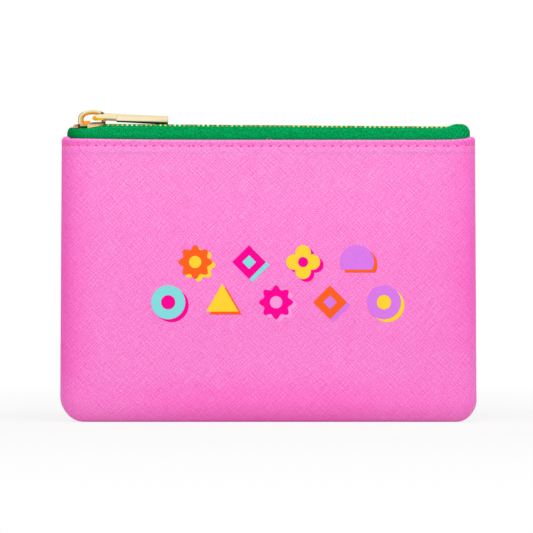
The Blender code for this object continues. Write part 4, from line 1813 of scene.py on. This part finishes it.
@dataclass
class Chain:
    """The rows of teeth and the stops at their ends."""

    profile: tuple[Pair, ...] = (
        (2.8, 0.35), (2.72, 0.68), (2.45, 0.9), (2.0, 0.97), (1.3, 0.94), (0.72, 0.72),
        (-0.15, 0.7), (-0.35, 0.5),
    )
    leg_half: float = 0.58 * MM
    head_half: float = 0.48 * MM
    stop_height: Pair = (-2.45 * MM, 0.45 * MM)
    stop_slope: float = 0.22
    stop_bevel: float = 1.1 * MM
    stop_reach: float = 0.9 * MM
    stop_cuts: Pair = (1.4 * MM, 0.4 * MM)
    stop_blush: Pair = (-105.9 * MM, 0.6 * MM)
    nose_shade_from: float = -98.6 * MM

    def tooth(self) -> bpy.types.Mesh:
        """Build one front tooth, its leg towards the tape and its head past the middle.

        Returns:
            The tooth.
        """
        half = [(y * MM, z * MM) for y, z in self.profile]
        ring = half + [(y, -z) for y, z in reversed(half)]
        middle = 1.0 * MM
        bm = bmesh.new()
        bm.loops.layers.uv.new(CLOTH_MAP)
        first = bm.faces.new([bm.verts.new((0.0, y, z)) for y, z in ring])
        stations = [(-1.0, 0.8), (-0.72, 1.0), (0.72, 1.0), (1.0, 0.8)]
        face = first
        rings = [list(face.verts)]
        for _ in stations[1:]:
            made = bmesh.ops.extrude_discrete_faces(bm, faces=[face])["faces"]
            face = made[0]
            rings.append(list(face.verts))
        for (along, scale), verts in zip(stations, rings):
            for vert, (y, z) in zip(verts, ring):
                width = mix(self.head_half, self.leg_half, smooth(y / (2.0 * MM)))
                vert.co = (along * width, -(middle + (y - middle) * mix(1.0, scale, 0.35)), z * scale)
        bmesh.ops.remove_doubles(bm, verts=bm.verts, dist=WELD)
        bmesh.ops.recalc_face_normals(bm, faces=bm.faces)
        return to_mesh("tooth", bm)

    def row(self, side: Side) -> bpy.types.Mesh:
        """Repeat the tooth along one side of the chain.

        Args:
            side: which row.

        Returns:
            The row.
        """
        template = self.tooth()
        x = ZIP.first_tooth + (ZIP.tooth_pitch / 2 if side is Side.BACK else 0.0)
        half_turn = Matrix.Rotation(math.pi if side is Side.BACK else 0.0, 4, "Z")
        places = []
        while x <= ZIP.chain_right:
            shift = Matrix.Translation((x, side * ZIP.shift(x), -ZIP.sink(x)))
            places.append(ZIP.line() @ shift @ half_turn)
            x += ZIP.tooth_pitch
        return copies(side.word + "_teeth", template, places)

    def stop(self, name: str, low: Point, high: Point) -> bpy.types.Mesh:
        """Build a rounded stop between two corners."""
        outline = [(low[0], low[1]), (high[0], low[1]), (high[0], high[1]), (low[0], high[1])]
        return slab(name, outline, low[2], high[2], self.stop_bevel, 5, ZIP.line())

    def upper(self, place: Vector) -> float:
        """Give the share by which a place is on the upper half of a top stop, which faces the crown.

        Args:
            place: the point.

        Returns:
            The share.
        """
        rise = place.z - ZIP.ridge + math.tan(math.radians(ZIP.fall_degrees)) * place.x
        off_middle = place.x - (ZIP.stop_left + ZIP.stop_right) / 2
        middle = sum(self.stop_height) / 2 + self.stop_slope * off_middle
        return smooth((rise - middle + 0.1 * MM) / (0.5 * MM))

    def stop_painted_shade(self, place: Vector) -> float:
        """Give the share of painted shade in brown on a top stop, up towards the crown."""
        return 0.75 * smooth((place.x - ZIP.stop_right + 1.9 * MM) / MM) * self.upper(place)

    def stop_deep(self, place: Vector) -> float:
        """Give the share of deep copper painted on a top stop, low in its middle."""
        centre, spread = self.stop_blush
        return 0.9 * math.exp(-((place.x - centre) / spread) ** 2) * (1.0 - self.upper(place))

    def dress(self) -> None:
        """Add the teeth and the stops."""
        for side in Side:
            word = side.word
            teeth = self.row(side)
            # painted shade on the teeth inside the slider's nose
            tint(teeth, "dark", lambda v: 0.95 * smooth((self.nose_shade_from - v.x) / MM))
            add_piece(word + "_tooth_row", teeth, TOOTH_METAL, "pouch", [word + "_teeth"])
            ys = sorted((side * 0.15 * MM, side * (ZIP.half_width + 0.1 * MM)))
            low = (ZIP.stop_left, ys[0], self.stop_height[0])
            high = (ZIP.stop_right + self.stop_reach, ys[1], self.stop_height[1])
            mesh = self.stop(word + "_stop", low, high)
            middle = (low[0] + high[0]) / 2
            for vert in mesh.vertices:
                vert.co.z += self.stop_slope * (vert.co.x - middle)
            for back in self.stop_cuts:
                cut(mesh, (ZIP.stop_right - back, 0.0, 0.0), (1, 0, 0))
            # painted shade up towards the crown
            tint(mesh, "dark", self.stop_painted_shade)
            tint(mesh, "deep", self.stop_deep)
            add_piece(word + "_stop_clamp", mesh, STOP_METAL, "pouch", [word + "_top_stop"])
        low = (ZIP.bottom_stop[0] + 0.4 * MM, -ZIP.half_width, -0.95 * MM)
        high = (ZIP.bottom_stop[1], ZIP.half_width, 0.95 * MM)
        mesh = self.stop("bottom_stop", low, high)
        add_piece("bottom_stop_clamp", mesh, STOP_METAL, "pouch", ["bottom_stop"])


@dataclass
class Slider:
    """The slider: two plates joined by a wedge, side flanges, a boss and the crown."""

    half_length: float = 7.4 * MM
    nose_half: float = 4.9 * MM
    rear_half: float = 3.7 * MM
    plate: float = 0.9 * MM
    cavity: float = 1.35 * MM
    slit: float = 0.94 * MM
    flange: float = 0.7 * MM
    flange_top: float = 0.8 * MM
    flange_low: Pair = (-1.6 * MM, -0.45 * MM)
    taper: Pair = (-1.6 * MM, 3.0 * MM)
    nose_radius: float = 2.6 * MM
    dome_top: Pair = (1.55 * MM, 1.75 * MM)
    dome_rim: Pair = (0.95 * MM, 0.85 * MM)
    lip_low: Pair = (-0.45 * MM, -0.6 * MM)
    crown_radius: float = 1.32 * MM
    crown_rear_radius: float = 1.15 * MM
    crown_line: tuple[Pair, ...] = (
        (-6.0, 1.3), (-6.05, 3.9), (-5.45, 5.45), (-3.95, 6.6), (-1.7, 7.25), (0.6, 7.4),
        (3.1, 7.0), (5.2, 6.3), (6.7, 5.45), (7.2, 4.3), (6.2, 1.5),
    )
    crown_foot_radius: float = 1.6 * MM

    def full_half(self, x: float) -> float:
        """Give the plate's half width at one place, without the rounding of its ends."""
        start, end = self.taper
        return mix(self.nose_half, self.rear_half, clamp((x - start) / (end - start)))

    def half_width(self, x: float) -> float:
        """Give the plate's half width at one place along it.

        Args:
            x: the place along the plate.

        Returns:
            The half width.
        """
        width = self.full_half(x)
        nose = self.nose_radius * (1.0 - round_over(x + self.half_length, self.nose_radius))
        rear = 0.5 * MM * (1.0 - round_over(self.half_length - x, 0.5 * MM))
        return width - nose - rear

    def plate_mesh(self, top: bool) -> bpy.types.Mesh:
        """Build the domed top plate or the flat bottom one, as a closed, soft-edged body.

        Args:
            top: whether it is the top plate.

        Returns:
            The plate.
        """
        nose = [self.nose_radius * (1 - math.cos(math.radians(a))) for a in (0, 20, 40, 60, 80)]
        xs = [-self.half_length + d for d in nose]
        xs += steps(-4.6 * MM, 6.8 * MM, 0.8 * MM) + [7.1 * MM, 7.3 * MM, self.half_length]
        shares = [-1.0, -0.97, -0.9, -0.8, -0.65, -0.4, 0.0, 0.4, 0.65, 0.8, 0.9, 0.97, 1.0]
        sign = 1.0 if top else -1.0
        outer = self.cavity + self.plate

        def place(x: float, share: float) -> Point:
            """Place one point of the plate's outer face.

            Args:
                x: the place along the plate.
                share: the share of the half width.

            Returns:
                The point.
            """
            edge = self.half_width(x)
            off_side = edge * (1.0 - abs(share))
            off_end = min(x + self.half_length, self.half_length - x) + 0.08 * MM
            soft = round_over(min(off_side + 0.05 * MM, off_end), 0.4 * MM)
            to_rear = smooth((x + self.half_length) / (5.4 * MM))
            height, rim = outer, outer
            if top:
                height, rim = mix(*self.dome_top, to_rear), mix(*self.dome_rim, to_rear)
            height = mix(height, rim, (share * edge / self.full_half(x)) ** 4)
            return x, share * edge, sign * (height - 0.25 * MM * (1.0 - soft))

        def under(x: float, share: float) -> Point:
            """Place one point of the plate's inner face.

            Args:
                x: the place along the plate.
                share: the share of the half width.

            Returns:
                The point.
            """
            edge = self.half_width(x)
            rim = self.dome_rim[1] - 0.4 * MM if top else self.cavity + 0.5 * MM
            return x, share * edge, sign * mix(self.cavity, rim, (share * edge / self.full_half(x)) ** 6)

        plates = []
        for surface in (place, under):
            plates.append(sheet("plate", xs, shares, surface, lambda x, s: (x, s * MM)))
        bm = bmesh.new()
        for mesh in plates:
            bm.from_mesh(mesh)
        rims = [e for e in bm.edges if e.is_boundary]
        bmesh.ops.bridge_loops(bm, edges=rims)
        bmesh.ops.recalc_face_normals(bm, faces=bm.faces)
        return to_mesh("plate", bm)

    def bodies(self) -> bpy.types.Mesh:
        """Put the plates, flanges, wedge and boss together.

        Returns:
            The mesh.
        """
        a, b = self.taper
        inner = self.flange
        outline = [
            (a - inner, self.nose_half), (a, self.nose_half), (b, self.rear_half), (7.2 * MM, self.rear_half),
            (7.2 * MM, self.rear_half - inner), (b, self.rear_half - inner), (a, self.nose_half - inner),
            (a - inner, self.nose_half - inner),
        ]
        parts = [self.plate_mesh(True), self.plate_mesh(False)]
        for side in Side:
            edge = [(x, side * (y - 0.1 * MM)) for x, y in outline]
            parts.append(slab("flange", edge, -self.cavity - 0.6 * MM, -self.slit - 0.5 * MM, 0.1 * MM, 2))
            edge = [(x, side * (y - 0.03 * MM)) for x, y in outline]
            upper = slab("flange", edge, 0.0, self.flange_top)
            for vert in upper.vertices:
                if vert.co.z < self.flange_top / 2:
                    vert.co.z = mix(*self.flange_low, (vert.co.x - a + inner) / (7.2 * MM - a + inner))
            parts.append(rounded(upper, 0.14 * MM, 3, lambda e: e.calc_face_angle() > math.radians(60.0)))
            parts.append(self.lip(side))
        tip, wide, end = -0.3 * MM, -2.6 * MM, -4.9 * MM
        wedge = [(tip, 0.0), (wide, 0.55 * MM), (end, 0.45 * MM), (end, -0.45 * MM), (wide, -0.55 * MM)]
        parts.append(slab("wedge", wedge, -self.cavity - 0.1 * MM, self.cavity + 0.1 * MM))
        fore, rear, half = -4.75 * MM, -0.95 * MM, 1.1 * MM
        boss = [(fore, -half), (rear, -half), (rear, half), (fore, half)]
        parts.append(slab("boss", boss, 1.4 * MM, 2.7 * MM, 0.35 * MM, 3))
        mesh = joined("slider_plates", parts)
        tint(mesh, "deep", self.plate_deep)
        # painted shade between the plates and at the rear
        tint(mesh, "dark", self.plate_painted_shade)
        mesh.transform(ZIP.slider())
        return mesh

    def lip(self, side: Side) -> bpy.types.Mesh:
        """Build the turned-down edge of the top plate, from the flange round to the nose.

        Args:
            side: which side of the plate.

        Returns:
            The edge.
        """
        xs = steps(-6.3 * MM, self.taper[0] - self.flange + 0.1 * MM, 0.6 * MM)
        outer = [(x, side * (self.half_width(x) - 0.05 * MM)) for x in xs]
        inner = [(x, side * (self.half_width(x) - 0.6 * MM)) for x in reversed(xs)]
        mesh = slab("lip", outer + inner, 0.0, self.flange_top)
        for vert in mesh.vertices:
            if vert.co.z < self.flange_top / 2:
                vert.co.z = mix(*self.lip_low, (vert.co.x - xs[0]) / (xs[-1] - xs[0]))
        return rounded(mesh, 0.12 * MM, 2, lambda e: e.calc_face_angle() > math.radians(60.0))

    def plate_deep(self, place: Vector) -> float:
        """Give the share of deep gold painted on the boss and below it, and faintly to the rear."""
        near = place.z > 0.66 * MM and -4.9 * MM < place.x < -0.9 * MM
        return 1.0 if near else 0.3 * smooth(place.x / (6 * MM))

    def plate_painted_shade(self, place: Vector) -> float:
        """Give the share of painted shade in brown between the plates, at the rear end and on the rear rim.

        Args:
            place: the point.

        Returns:
            The share.
        """
        ahead = place.x < self.taper[0] - self.flange
        between = smooth((-0.15 * MM - place.z) / (0.3 * MM)) if ahead else 0.0
        rim = smooth((place.x + 0.9 * MM) / (0.6 * MM)) * smooth((place.z - 0.6 * MM) / (0.12 * MM))
        end = smooth((place.x - 6.2 * MM) / (0.5 * MM))
        return max(0.8 * between, 0.8 * rim, end)

    def crown(self) -> bpy.types.Mesh:
        """Build the crown, a round strap that arches over the plates and falls to the rear.

        Returns:
            The crown.
        """
        path = [Vector((x * MM, 0.0, z * MM)) for x, z in through(self.crown_line, 5)]
        radii = []
        for spot in path:
            fore = mix(self.crown_foot_radius, self.crown_radius, smooth((spot.x + 6 * MM) / (3 * MM)))
            radii.append(mix(fore, self.crown_rear_radius, smooth((spot.x - 4 * MM) / (2 * MM))))
        mesh = tube("slider_crown", path, radii, Vector((0, -1, 0)), 28)
        hole = Vector((-1.0 * MM, 0.0, 3.2 * MM))

        def inward(place: Vector) -> float:
            """Give how far a place faces the hole, from -1 on the outside to 1 on the inside.

            Args:
                place: the point.

            Returns:
                The value.
            """
            middle = min(path, key=lambda p: (p - place).length)
            i = path.index(middle)
            along = (path[min(i + 1, len(path) - 1)] - path[max(i - 1, 0)]).normalized()
            to_hole = hole - middle
            normal = (to_hole - along * to_hole.dot(along)).normalized()
            return (place - middle).dot(normal) / self.crown_radius

        def dark(place: Vector) -> float:
            """Give the share of brown painted reflection on the middle line and the left rim, and painted
            shade on the rear shoulder.

            Args:
                place: the point.

            Returns:
                The share.
            """
            line = 0.65 * math.exp(-((inward(place) - 0.04) / 0.12) ** 2)
            left_rim = 0.75 * smooth((-inward(place) - 0.66) / 0.2)
            left_rim *= smooth((-3.2 * MM - place.x) / (2.2 * MM))
            shoulder = smooth((place.x - 4.9 * MM) / (0.5 * MM)) * smooth((place.z - 0.5 * MM) / MM)
            return max(line, left_rim, shoulder * mix(0.6, 0.95, smooth((place.z - 3.0 * MM) / (2.0 * MM))))

        # painted reflection: deep gold on the inner face, where the crown mirrors itself
        tint(mesh, "deep", lambda place: smooth((inward(place) + 0.02) / 0.2))
        # painted reflection and painted shade in brown
        tint(mesh, "dark", dark)
        mesh.transform(ZIP.slider())
        return mesh

    def dress(self) -> None:
        """Add the plates and the crown."""
        add_piece("slider_plates", self.bodies(), SLIDER_METAL, "slider", ["slider_body"])
        add_piece("slider_crown_strap", self.crown(), CROWN_METAL, "slider", ["slider_crown"])


@dataclass
class Pull:
    """The pull: a link with its pin in the crown, and the bar."""

    eye: float = 1.15 * MM
    leg: Pair = (1.9 * MM, 2.9 * MM)
    link_length: float = 11.8 * MM
    link_height: Pair = (-0.95 * MM, 2.95 * MM)
    link_low_rounding: float = 0.8 * MM
    ramp: float = 4.0 * MM
    bridge: float = 2.0 * MM
    pin_radius: float = 1.15 * MM
    bar_start: float = 12.1 * MM
    bar_length: float = 28.4 * MM
    bar_deepening: float = 0.35 * MM
    bar_half_width: float = 2.5 * MM
    bar_height: Pair = (-1.62 * MM, 2.74 * MM)
    bar_low_rounding: float = 1.2 * MM
    bar_top_rounding: float = 0.3 * MM
    bar_end: float = 0.22 * MM

    def link(self) -> bpy.types.Mesh:
        """Build the two cranked legs and the bridge that joins them.

        Returns:
            The link.
        """
        low, high = self.link_height
        eye = [
            (-self.eye * math.sin(math.radians(a)), -self.eye * math.cos(math.radians(a)))
            for a in range(0, 181, 15)
        ]
        rise = [(0.0, 1.15), (0.8, 1.55), (1.7, 2.1), (4.4, 2.25), (5.5, 2.75), (6.6, 2.95)]
        upper = [(x * MM, z * MM) for x, z in through(rise, 4)][1:]
        lower = [(self.ramp, low), (2.4 * MM, -0.98 * MM), (1.2 * MM, -1.08 * MM)]
        outline = eye + upper + [(self.link_length, high), (self.link_length, low)] + lower
        parts = []
        upright = Matrix.Rotation(math.radians(90.0), 4, "X")
        for side in Side:
            near, far = sorted(-side * y for y in self.leg)
            leg = slab("leg", outline, near, far, turn=upright)
            rounded(leg, self.link_low_rounding, 6, lambda e: all(
                v.co.z < low + 0.15 * MM and abs(v.co.y) > self.leg[1] - 0.1 * MM for v in e.verts))
            parts.append(rounded(leg, 0.16 * MM, 2, lambda e: e.calc_face_angle() > math.radians(45.0)))
        end = self.link_length
        bridge = [(end - self.bridge, low + 0.2 * MM), (end - 0.1 * MM, low + 0.2 * MM),
                  (end - 0.1 * MM, high - 0.2 * MM), (end - self.bridge, high - 0.2 * MM)]
        parts.append(slab("bridge", bridge, -2.2 * MM, 2.2 * MM, 0.15 * MM, 2, upright))
        mesh = joined("pull_link", parts)
        for place, across in (
            ((0.0, 0.0, low + 0.8 * MM), (0, 0, 1)), ((0.0, 0.0, low + 1.25 * MM), (0, 0, 1)),
            ((0.0, 0.0, 0.15 * MM), (0, 0, 1)),
            ((0.0, 0.0, 0.45 * MM), (0, 0, 1)), ((4.6 * MM, 0.0, 0.0), (1, 0, 0)),
            ((5.2 * MM, 0.0, 0.0), (1, 0, 0)),
        ):
            cut(mesh, place, across)
        # painted reflections on the link
        tint(mesh, "deep", self.link_painted_reflection)
        tint(mesh, "dark", self.link_painted_underside)
        mesh.transform(ZIP.pull())
        return mesh

    def link_painted_reflection(self, place: Vector) -> float:
        """Give the share of painted reflection in deep gold, low down by the eye."""
        low = 1.0 - smooth((place.z - 0.15 * MM) / (0.3 * MM))
        return low * (1.0 - smooth((place.x - 4.6 * MM) / (0.6 * MM)))

    def link_painted_underside(self, place: Vector) -> float:
        """Give the share of painted reflection in brown, along the underside of the straight part."""
        under = 1.0 - smooth((place.z - self.link_height[0] - 0.8 * MM) / (0.45 * MM))
        return 0.8 * under * smooth((place.x - 4.4 * MM) / (0.8 * MM))

    def pin(self) -> bpy.types.Mesh:
        """Build the pin, its domed ends a little proud of the legs.

        Returns:
            The pin.
        """
        half = self.leg[1] + 0.28 * MM
        ys = [-half, -half + 0.06 * MM, -half + 0.2 * MM, half - 0.2 * MM, half - 0.06 * MM, half]
        scales = [0.5, 0.85, 1.0, 1.0, 0.85, 0.5]
        path = [Vector((0.0, y, 0.0)) for y in ys]
        mesh = tube("pull_pin", path, [self.pin_radius * s for s in scales], Vector((1, 0, 0)), 24)
        mesh.transform(ZIP.pull())
        return mesh

    def bar(self) -> bpy.types.Mesh:
        """Build the bar, its lower long edges well rounded and its upper ones crisp.

        Returns:
            The bar.
        """
        low, high = self.bar_height
        near, far = self.bar_start, self.bar_start + self.bar_length
        half = self.bar_half_width
        outline = [(near, -half), (far, -half), (far, half), (near, half)]
        bar = slab("bar", outline, low, high)
        middle = (low + high) / 2

        def long_edge(edge: bmesh.types.BMEdge, upper: bool) -> bool:
            """Say whether an edge runs along the bar, at its top or at its underside.

            Args:
                edge: the edge.
                upper: whether the top is meant.

            Returns:
                True for such an edge.
            """
            a, b = (v.co for v in edge.verts)
            same_side = (a.z > middle) is upper and (b.z > middle) is upper
            return abs(a.x - b.x) > self.bar_length / 2 and same_side

        rounded(bar, self.bar_low_rounding, 8, lambda e: long_edge(e, False))
        rounded(bar, self.bar_top_rounding, 3, lambda e: long_edge(e, True))
        rounded(bar, self.bar_end, 3, lambda e: e.calc_face_angle() > math.radians(60.0))
        for vert in bar.vertices:
            if vert.co.z < low + self.bar_low_rounding + 0.1 * MM:
                vert.co.z -= self.bar_deepening * smooth((vert.co.x - near) / self.bar_length)
        core = slab("core", [(10.4 * MM, -1.6 * MM), (12.6 * MM, -1.6 * MM), (12.6 * MM, 1.6 * MM),
                             (10.4 * MM, 1.6 * MM)], -0.6 * MM, 2.2 * MM, 0.1 * MM)
        mesh = joined("pull_bar", [bar, core])
        for height in (high - 0.95 * MM, high - 1.5 * MM, low + self.bar_low_rounding + 0.12 * MM):
            cut(mesh, (0.0, 0.0, height), (0, 0, 1))
        for x in [*steps(near, far, 4 * MM)[1:-1], far - 0.75 * MM]:
            cut(mesh, (x, 0.0, 0.0), (1, 0, 0))
        # painted shade and painted reflection on the bar
        tint(mesh, "deep", self.bar_painted_shade)
        tint(mesh, "dark", self.bar_dark)
        mesh.transform(ZIP.pull())
        return mesh

    def bar_painted_shade(self, place: Vector) -> float:
        """Give the share of painted shade in tan, up along the bar's front and at its far end.

        Args:
            place: the point.

        Returns:
            The share.
        """
        end = self.bar_start + self.bar_length
        upper = smooth((place.z - self.bar_height[1] + 1.5 * MM) / (0.9 * MM))
        return max(0.4 * upper, 0.6 * smooth((place.x - end + 0.7 * MM) / (0.5 * MM)))

    def bar_dark(self, place: Vector) -> float:
        """Give the share of dark green painted on the underside, as if the tape were mirrored in it.

        Args:
            place: the point.

        Returns:
            The share.
        """
        along = clamp((place.x - self.bar_start) / self.bar_length)
        edge = self.bar_height[0] + mix(0.4, 0.95, along) * MM
        return 0.95 * (1.0 - smooth((place.z - edge) / (0.6 * MM)))

    def dress(self) -> None:
        """Add the link, the pin and the bar."""
        add_piece("pull_link_frame", self.link(), LINK_METAL, "pull", ["pull_link"])
        add_piece("pull_pin", self.pin(), PIN_METAL, "pull")
        add_piece("pull_bar_body", self.bar(), BAR_METAL, "pull", ["pull_bar"])


# The print


class Motif(Enum):
    """The printed shapes, each with the radius that its outline has at a turn."""

    DISC = "disc"
    DIAMOND = "diamond"
    PETALS = "petals"
    SCALLOP = "scallop"
    DOME = "dome"
    TRIANGLE = "triangle"

    def radius(self, turn: float) -> float:
        """Give the outline's distance from the middle, in half sizes.

        Args:
            turn: the angle round the middle.

        Returns:
            The distance.
        """
        if self is Motif.DIAMOND:
            return 1.0 / (abs(math.cos(turn)) + abs(math.sin(turn)))
        if self is Motif.PETALS:
            return 0.62 + 0.38 * abs(math.cos(2.0 * turn)) ** 0.8
        if self is Motif.SCALLOP:
            return 0.88 + 0.12 * math.cos(8.0 * turn)
        if self is Motif.DOME:
            floor = 0.45 / max(-math.sin(turn), 1e-6) if math.sin(turn) < 0 else 2.0
            return min(1.0, floor)
        if self is Motif.TRIANGLE:
            third = math.tau / 3.0
            off = (turn - math.pi / 2.0) % third - third / 2.0
            return 0.55 / math.cos(off)
        return 1.0


class Tone(Enum):
    """The print's inks, as seen and where the grain is deep."""

    MAGENTA = ("fc0097", "f4008e")
    YELLOW = ("ffd636", "fbcd2c")
    ORANGE = ("fe6320", "f75a1a")
    LILAC = ("da7cea", "d173e2")
    AQUA = ("85e0df", "7cd8d7")
    BLUSH = ("ff9cde", "fb94d6")

    @property
    def finish(self) -> Ink:
        """Give the ink as a finish."""
        return Ink(self.name.lower() + "_ink", *self.value)


class Printed(NamedTuple):
    """One printed shape: where its middle is, its half size, its ink and its layer."""

    motif: Motif
    x: float
    z: float
    half: float
    tone: Tone
    layer: int


@dataclass
class Print:
    """A loose field of plain shapes on the front panel, each with an offset second colour."""

    centre: Pair = (4.2 * MM, 76.7 * MM)
    row_height: float = 22.0 * MM
    pitch: float = 29.5 * MM
    half: float = 9.3 * MM
    offset: Pair = (1.9 * MM, -1.6 * MM)
    lift: float = 0.05 * MM
    layer_step: float = 0.035 * MM
    thickness: float = 0.025 * MM
    upper: tuple[tuple[Motif, Tone, Tone], ...] = (
        (Motif.SCALLOP, Tone.ORANGE, Tone.YELLOW),
        (Motif.DIAMOND, Tone.MAGENTA, Tone.AQUA),
        (Motif.PETALS, Tone.YELLOW, Tone.MAGENTA),
        (Motif.DOME, Tone.LILAC, Tone.ORANGE),
    )
    lower: tuple[tuple[Motif, Tone, Tone], ...] = (
        (Motif.DISC, Tone.AQUA, Tone.MAGENTA),
        (Motif.TRIANGLE, Tone.YELLOW, Tone.ORANGE),
        (Motif.SCALLOP, Tone.MAGENTA, Tone.BLUSH),
        (Motif.DIAMOND, Tone.ORANGE, Tone.LILAC),
        (Motif.DISC, Tone.LILAC, Tone.YELLOW),
    )
    centres: dict[Motif, tuple[Motif, float]] = field(default_factory=lambda: {
        Motif.DISC: (Motif.DISC, 0.42),
        Motif.SCALLOP: (Motif.DISC, 0.36),
        Motif.DIAMOND: (Motif.DIAMOND, 0.4),
        Motif.PETALS: (Motif.DISC, 0.3),
    })

    def shapes(self) -> list[Printed]:
        """List every printed shape: second colour below, then the shape, then its middle.

        Returns:
            The shapes, each with its layer.
        """
        made = []
        for row, up in ((self.upper, 0.5), (self.lower, -0.5)):
            for i, (motif, tone, second) in enumerate(row):
                x = self.centre[0] + (i - (len(row) - 1) / 2) * self.pitch
                z = self.centre[1] + up * self.row_height
                made.append(Printed(motif, x + self.offset[0], z + self.offset[1], self.half, second, 0))
                made.append(Printed(motif, x, z, self.half, tone, 1))
                if motif in self.centres:
                    inner, share = self.centres[motif]
                    made.append(Printed(inner, x, z, self.half * share, second, 2))
        return made

    def shape_mesh(self, panels: Panels, shape: Printed) -> bpy.types.Mesh:
        """Lay one shape on the panel, ring by ring from its middle.

        Args:
            panels: the panels.
            shape: the shape.

        Returns:
            The sheet.
        """
        corners = 144
        turns = [math.tau * i / corners for i in range(corners + 1)]
        rings = [0.0, 0.25, 0.5, 0.75, 0.985, 1.0]
        lift = self.lift + self.layer_step * shape.layer

        def spot(turn: float, ring: float) -> Pair:
            """Give the place of one point of the shape on the panel, as x and z."""
            reach = shape.motif.radius(turn) * ring * shape.half
            return shape.x + reach * math.cos(turn), shape.z + reach * math.sin(turn)

        def place(turn: float, ring: float) -> Point:
            """Lift one point of the shape onto the panel's surface.

            Args:
                turn: the angle round the middle.
                ring: the share of the way out.

            Returns:
                The point.
            """
            x, z = spot(turn, ring)
            relief = panels.relief(Side.FRONT, run_at(x), z)
            x, depth, z = SHAPE.on_front(x, z, lift + relief)
            return x, -depth, z

        return sheet("shape", turns, rings, place, spot, flip=True)

    def dress(self, panels: Panels) -> None:
        """Add one piece for each ink and layer.

        Args:
            panels: the panels.
        """
        shapes = self.shapes()
        for tone in Tone:
            for layer in range(3):
                chosen = [s for s in shapes if s.tone is tone and s.layer == layer]
                if not chosen:
                    continue
                name = f"print_{tone.name.lower()}_{layer}"
                mesh = joined(name, [self.shape_mesh(panels, s) for s in chosen])
                piece = add_piece(name, mesh, tone.finish, "pouch")
                add_wall(piece, self.thickness)


# The studio


@dataclass
class Studio:
    """A plain pale floor, soft light from high in front, and the camera."""

    floor_size: float = 60.0
    floor_drop: float = 0.1 * MM
    ambient: float = 0.5
    key_power: float = 44.0
    key_size: Pair = (4.2, 0.9)
    key_distance: float = 2.0
    key_elevation: float = 57.0
    key_azimuth: float = 10.0
    camera_place: Point = (-1.043 * MM, -1506.0 * MM, 85.26 * MM)
    lens: float = 184.56

    def floor(self) -> None:
        """Lay the floor, which is no part of the object."""
        bm = bmesh.new()
        bmesh.ops.create_grid(bm, x_segments=1, y_segments=1, size=self.floor_size / 2)
        bmesh.ops.translate(bm, vec=(0.0, 0.0, -self.floor_drop), verts=bm.verts)
        piece = bpy.data.objects.new("floor", to_mesh("floor", bm))
        bpy.context.scene.collection.objects.link(piece)
        piece.data.materials.append(FloorPaper().material())
        piece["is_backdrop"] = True

    def world(self) -> None:
        """Light evenly from all round, with a white background."""
        world = bpy.data.worlds.new("soft_studio")
        bpy.context.scene.world = world
        graph = WorldGraph(world)
        seen = shown_rays(graph)
        graph.feed(graph.shader.inputs["Strength"], graph.spread(seen, self.ambient, 1.0))
        graph.shader.inputs["Color"].default_value = (1.0, 1.0, 1.0, 1.0)

    def lamp(self) -> None:
        """Hang the broad lamp high in front, a little to the right."""
        data = bpy.data.lights.new("broad_lamp", "AREA")
        data.shape = "RECTANGLE"
        data.size, data.size_y = self.key_size
        data.energy = self.key_power
        lamp = bpy.data.objects.new("broad_lamp", data)
        bpy.context.scene.collection.objects.link(lamp)
        up, across = math.radians(self.key_elevation), math.radians(self.key_azimuth)
        aim = Vector((math.sin(across) * math.cos(up), -math.cos(across) * math.cos(up), math.sin(up)))
        lamp.visible_glossy = False
        lamp.location = aim * self.key_distance + Vector((0.0, 0.0, 0.08))
        lamp.rotation_euler = aim.to_track_quat("Z", "Y").to_euler()

    def camera(self) -> None:
        """Stand the camera straight in front."""
        data = bpy.data.cameras.new("camera")
        data.type = "PERSP"
        data.sensor_width = 36.0
        data.lens = self.lens
        data.clip_end = 200.0
        camera = bpy.data.objects.new("camera", data)
        bpy.context.scene.collection.objects.link(camera)
        camera.location = self.camera_place
        camera.rotation_euler = (math.radians(90.0), 0.0, 0.0)
        bpy.context.scene.camera = camera

    def build(self) -> None:
        """Set up the whole studio."""
        self.floor()
        self.world()
        self.lamp()
        self.camera()
        bpy.context.scene.view_settings.view_transform = "Standard"


def corners(bounds: tuple[Vector, Vector]) -> list[list[float]]:
    """Turn a box's two corners to plain lists."""
    return [list(corner) for corner in bounds]


def main() -> None:
    """Build the pouch's looks in order."""
    logging.basicConfig(level=logging.INFO, format="%(message)s")
    solid_box = corners(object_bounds())
    panels = Panels()
    for maker in (panels, Linings(), Topstitch(panels), Tapes(), Chain(), Slider(), Pull()):
        before = set(bpy.data.objects)
        maker.dress()
        made = sorted(thing.name for thing in set(bpy.data.objects) - before)
        LOG.info("%s: %s", type(maker).__name__, ", ".join(made))
    Print().dress(panels)
    Studio().build()
    LOG.info("Studio: floor, world, lamp and camera")
    {"cad": solid_box, "visual": corners(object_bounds())}


if __name__ == "__main__":
    main()
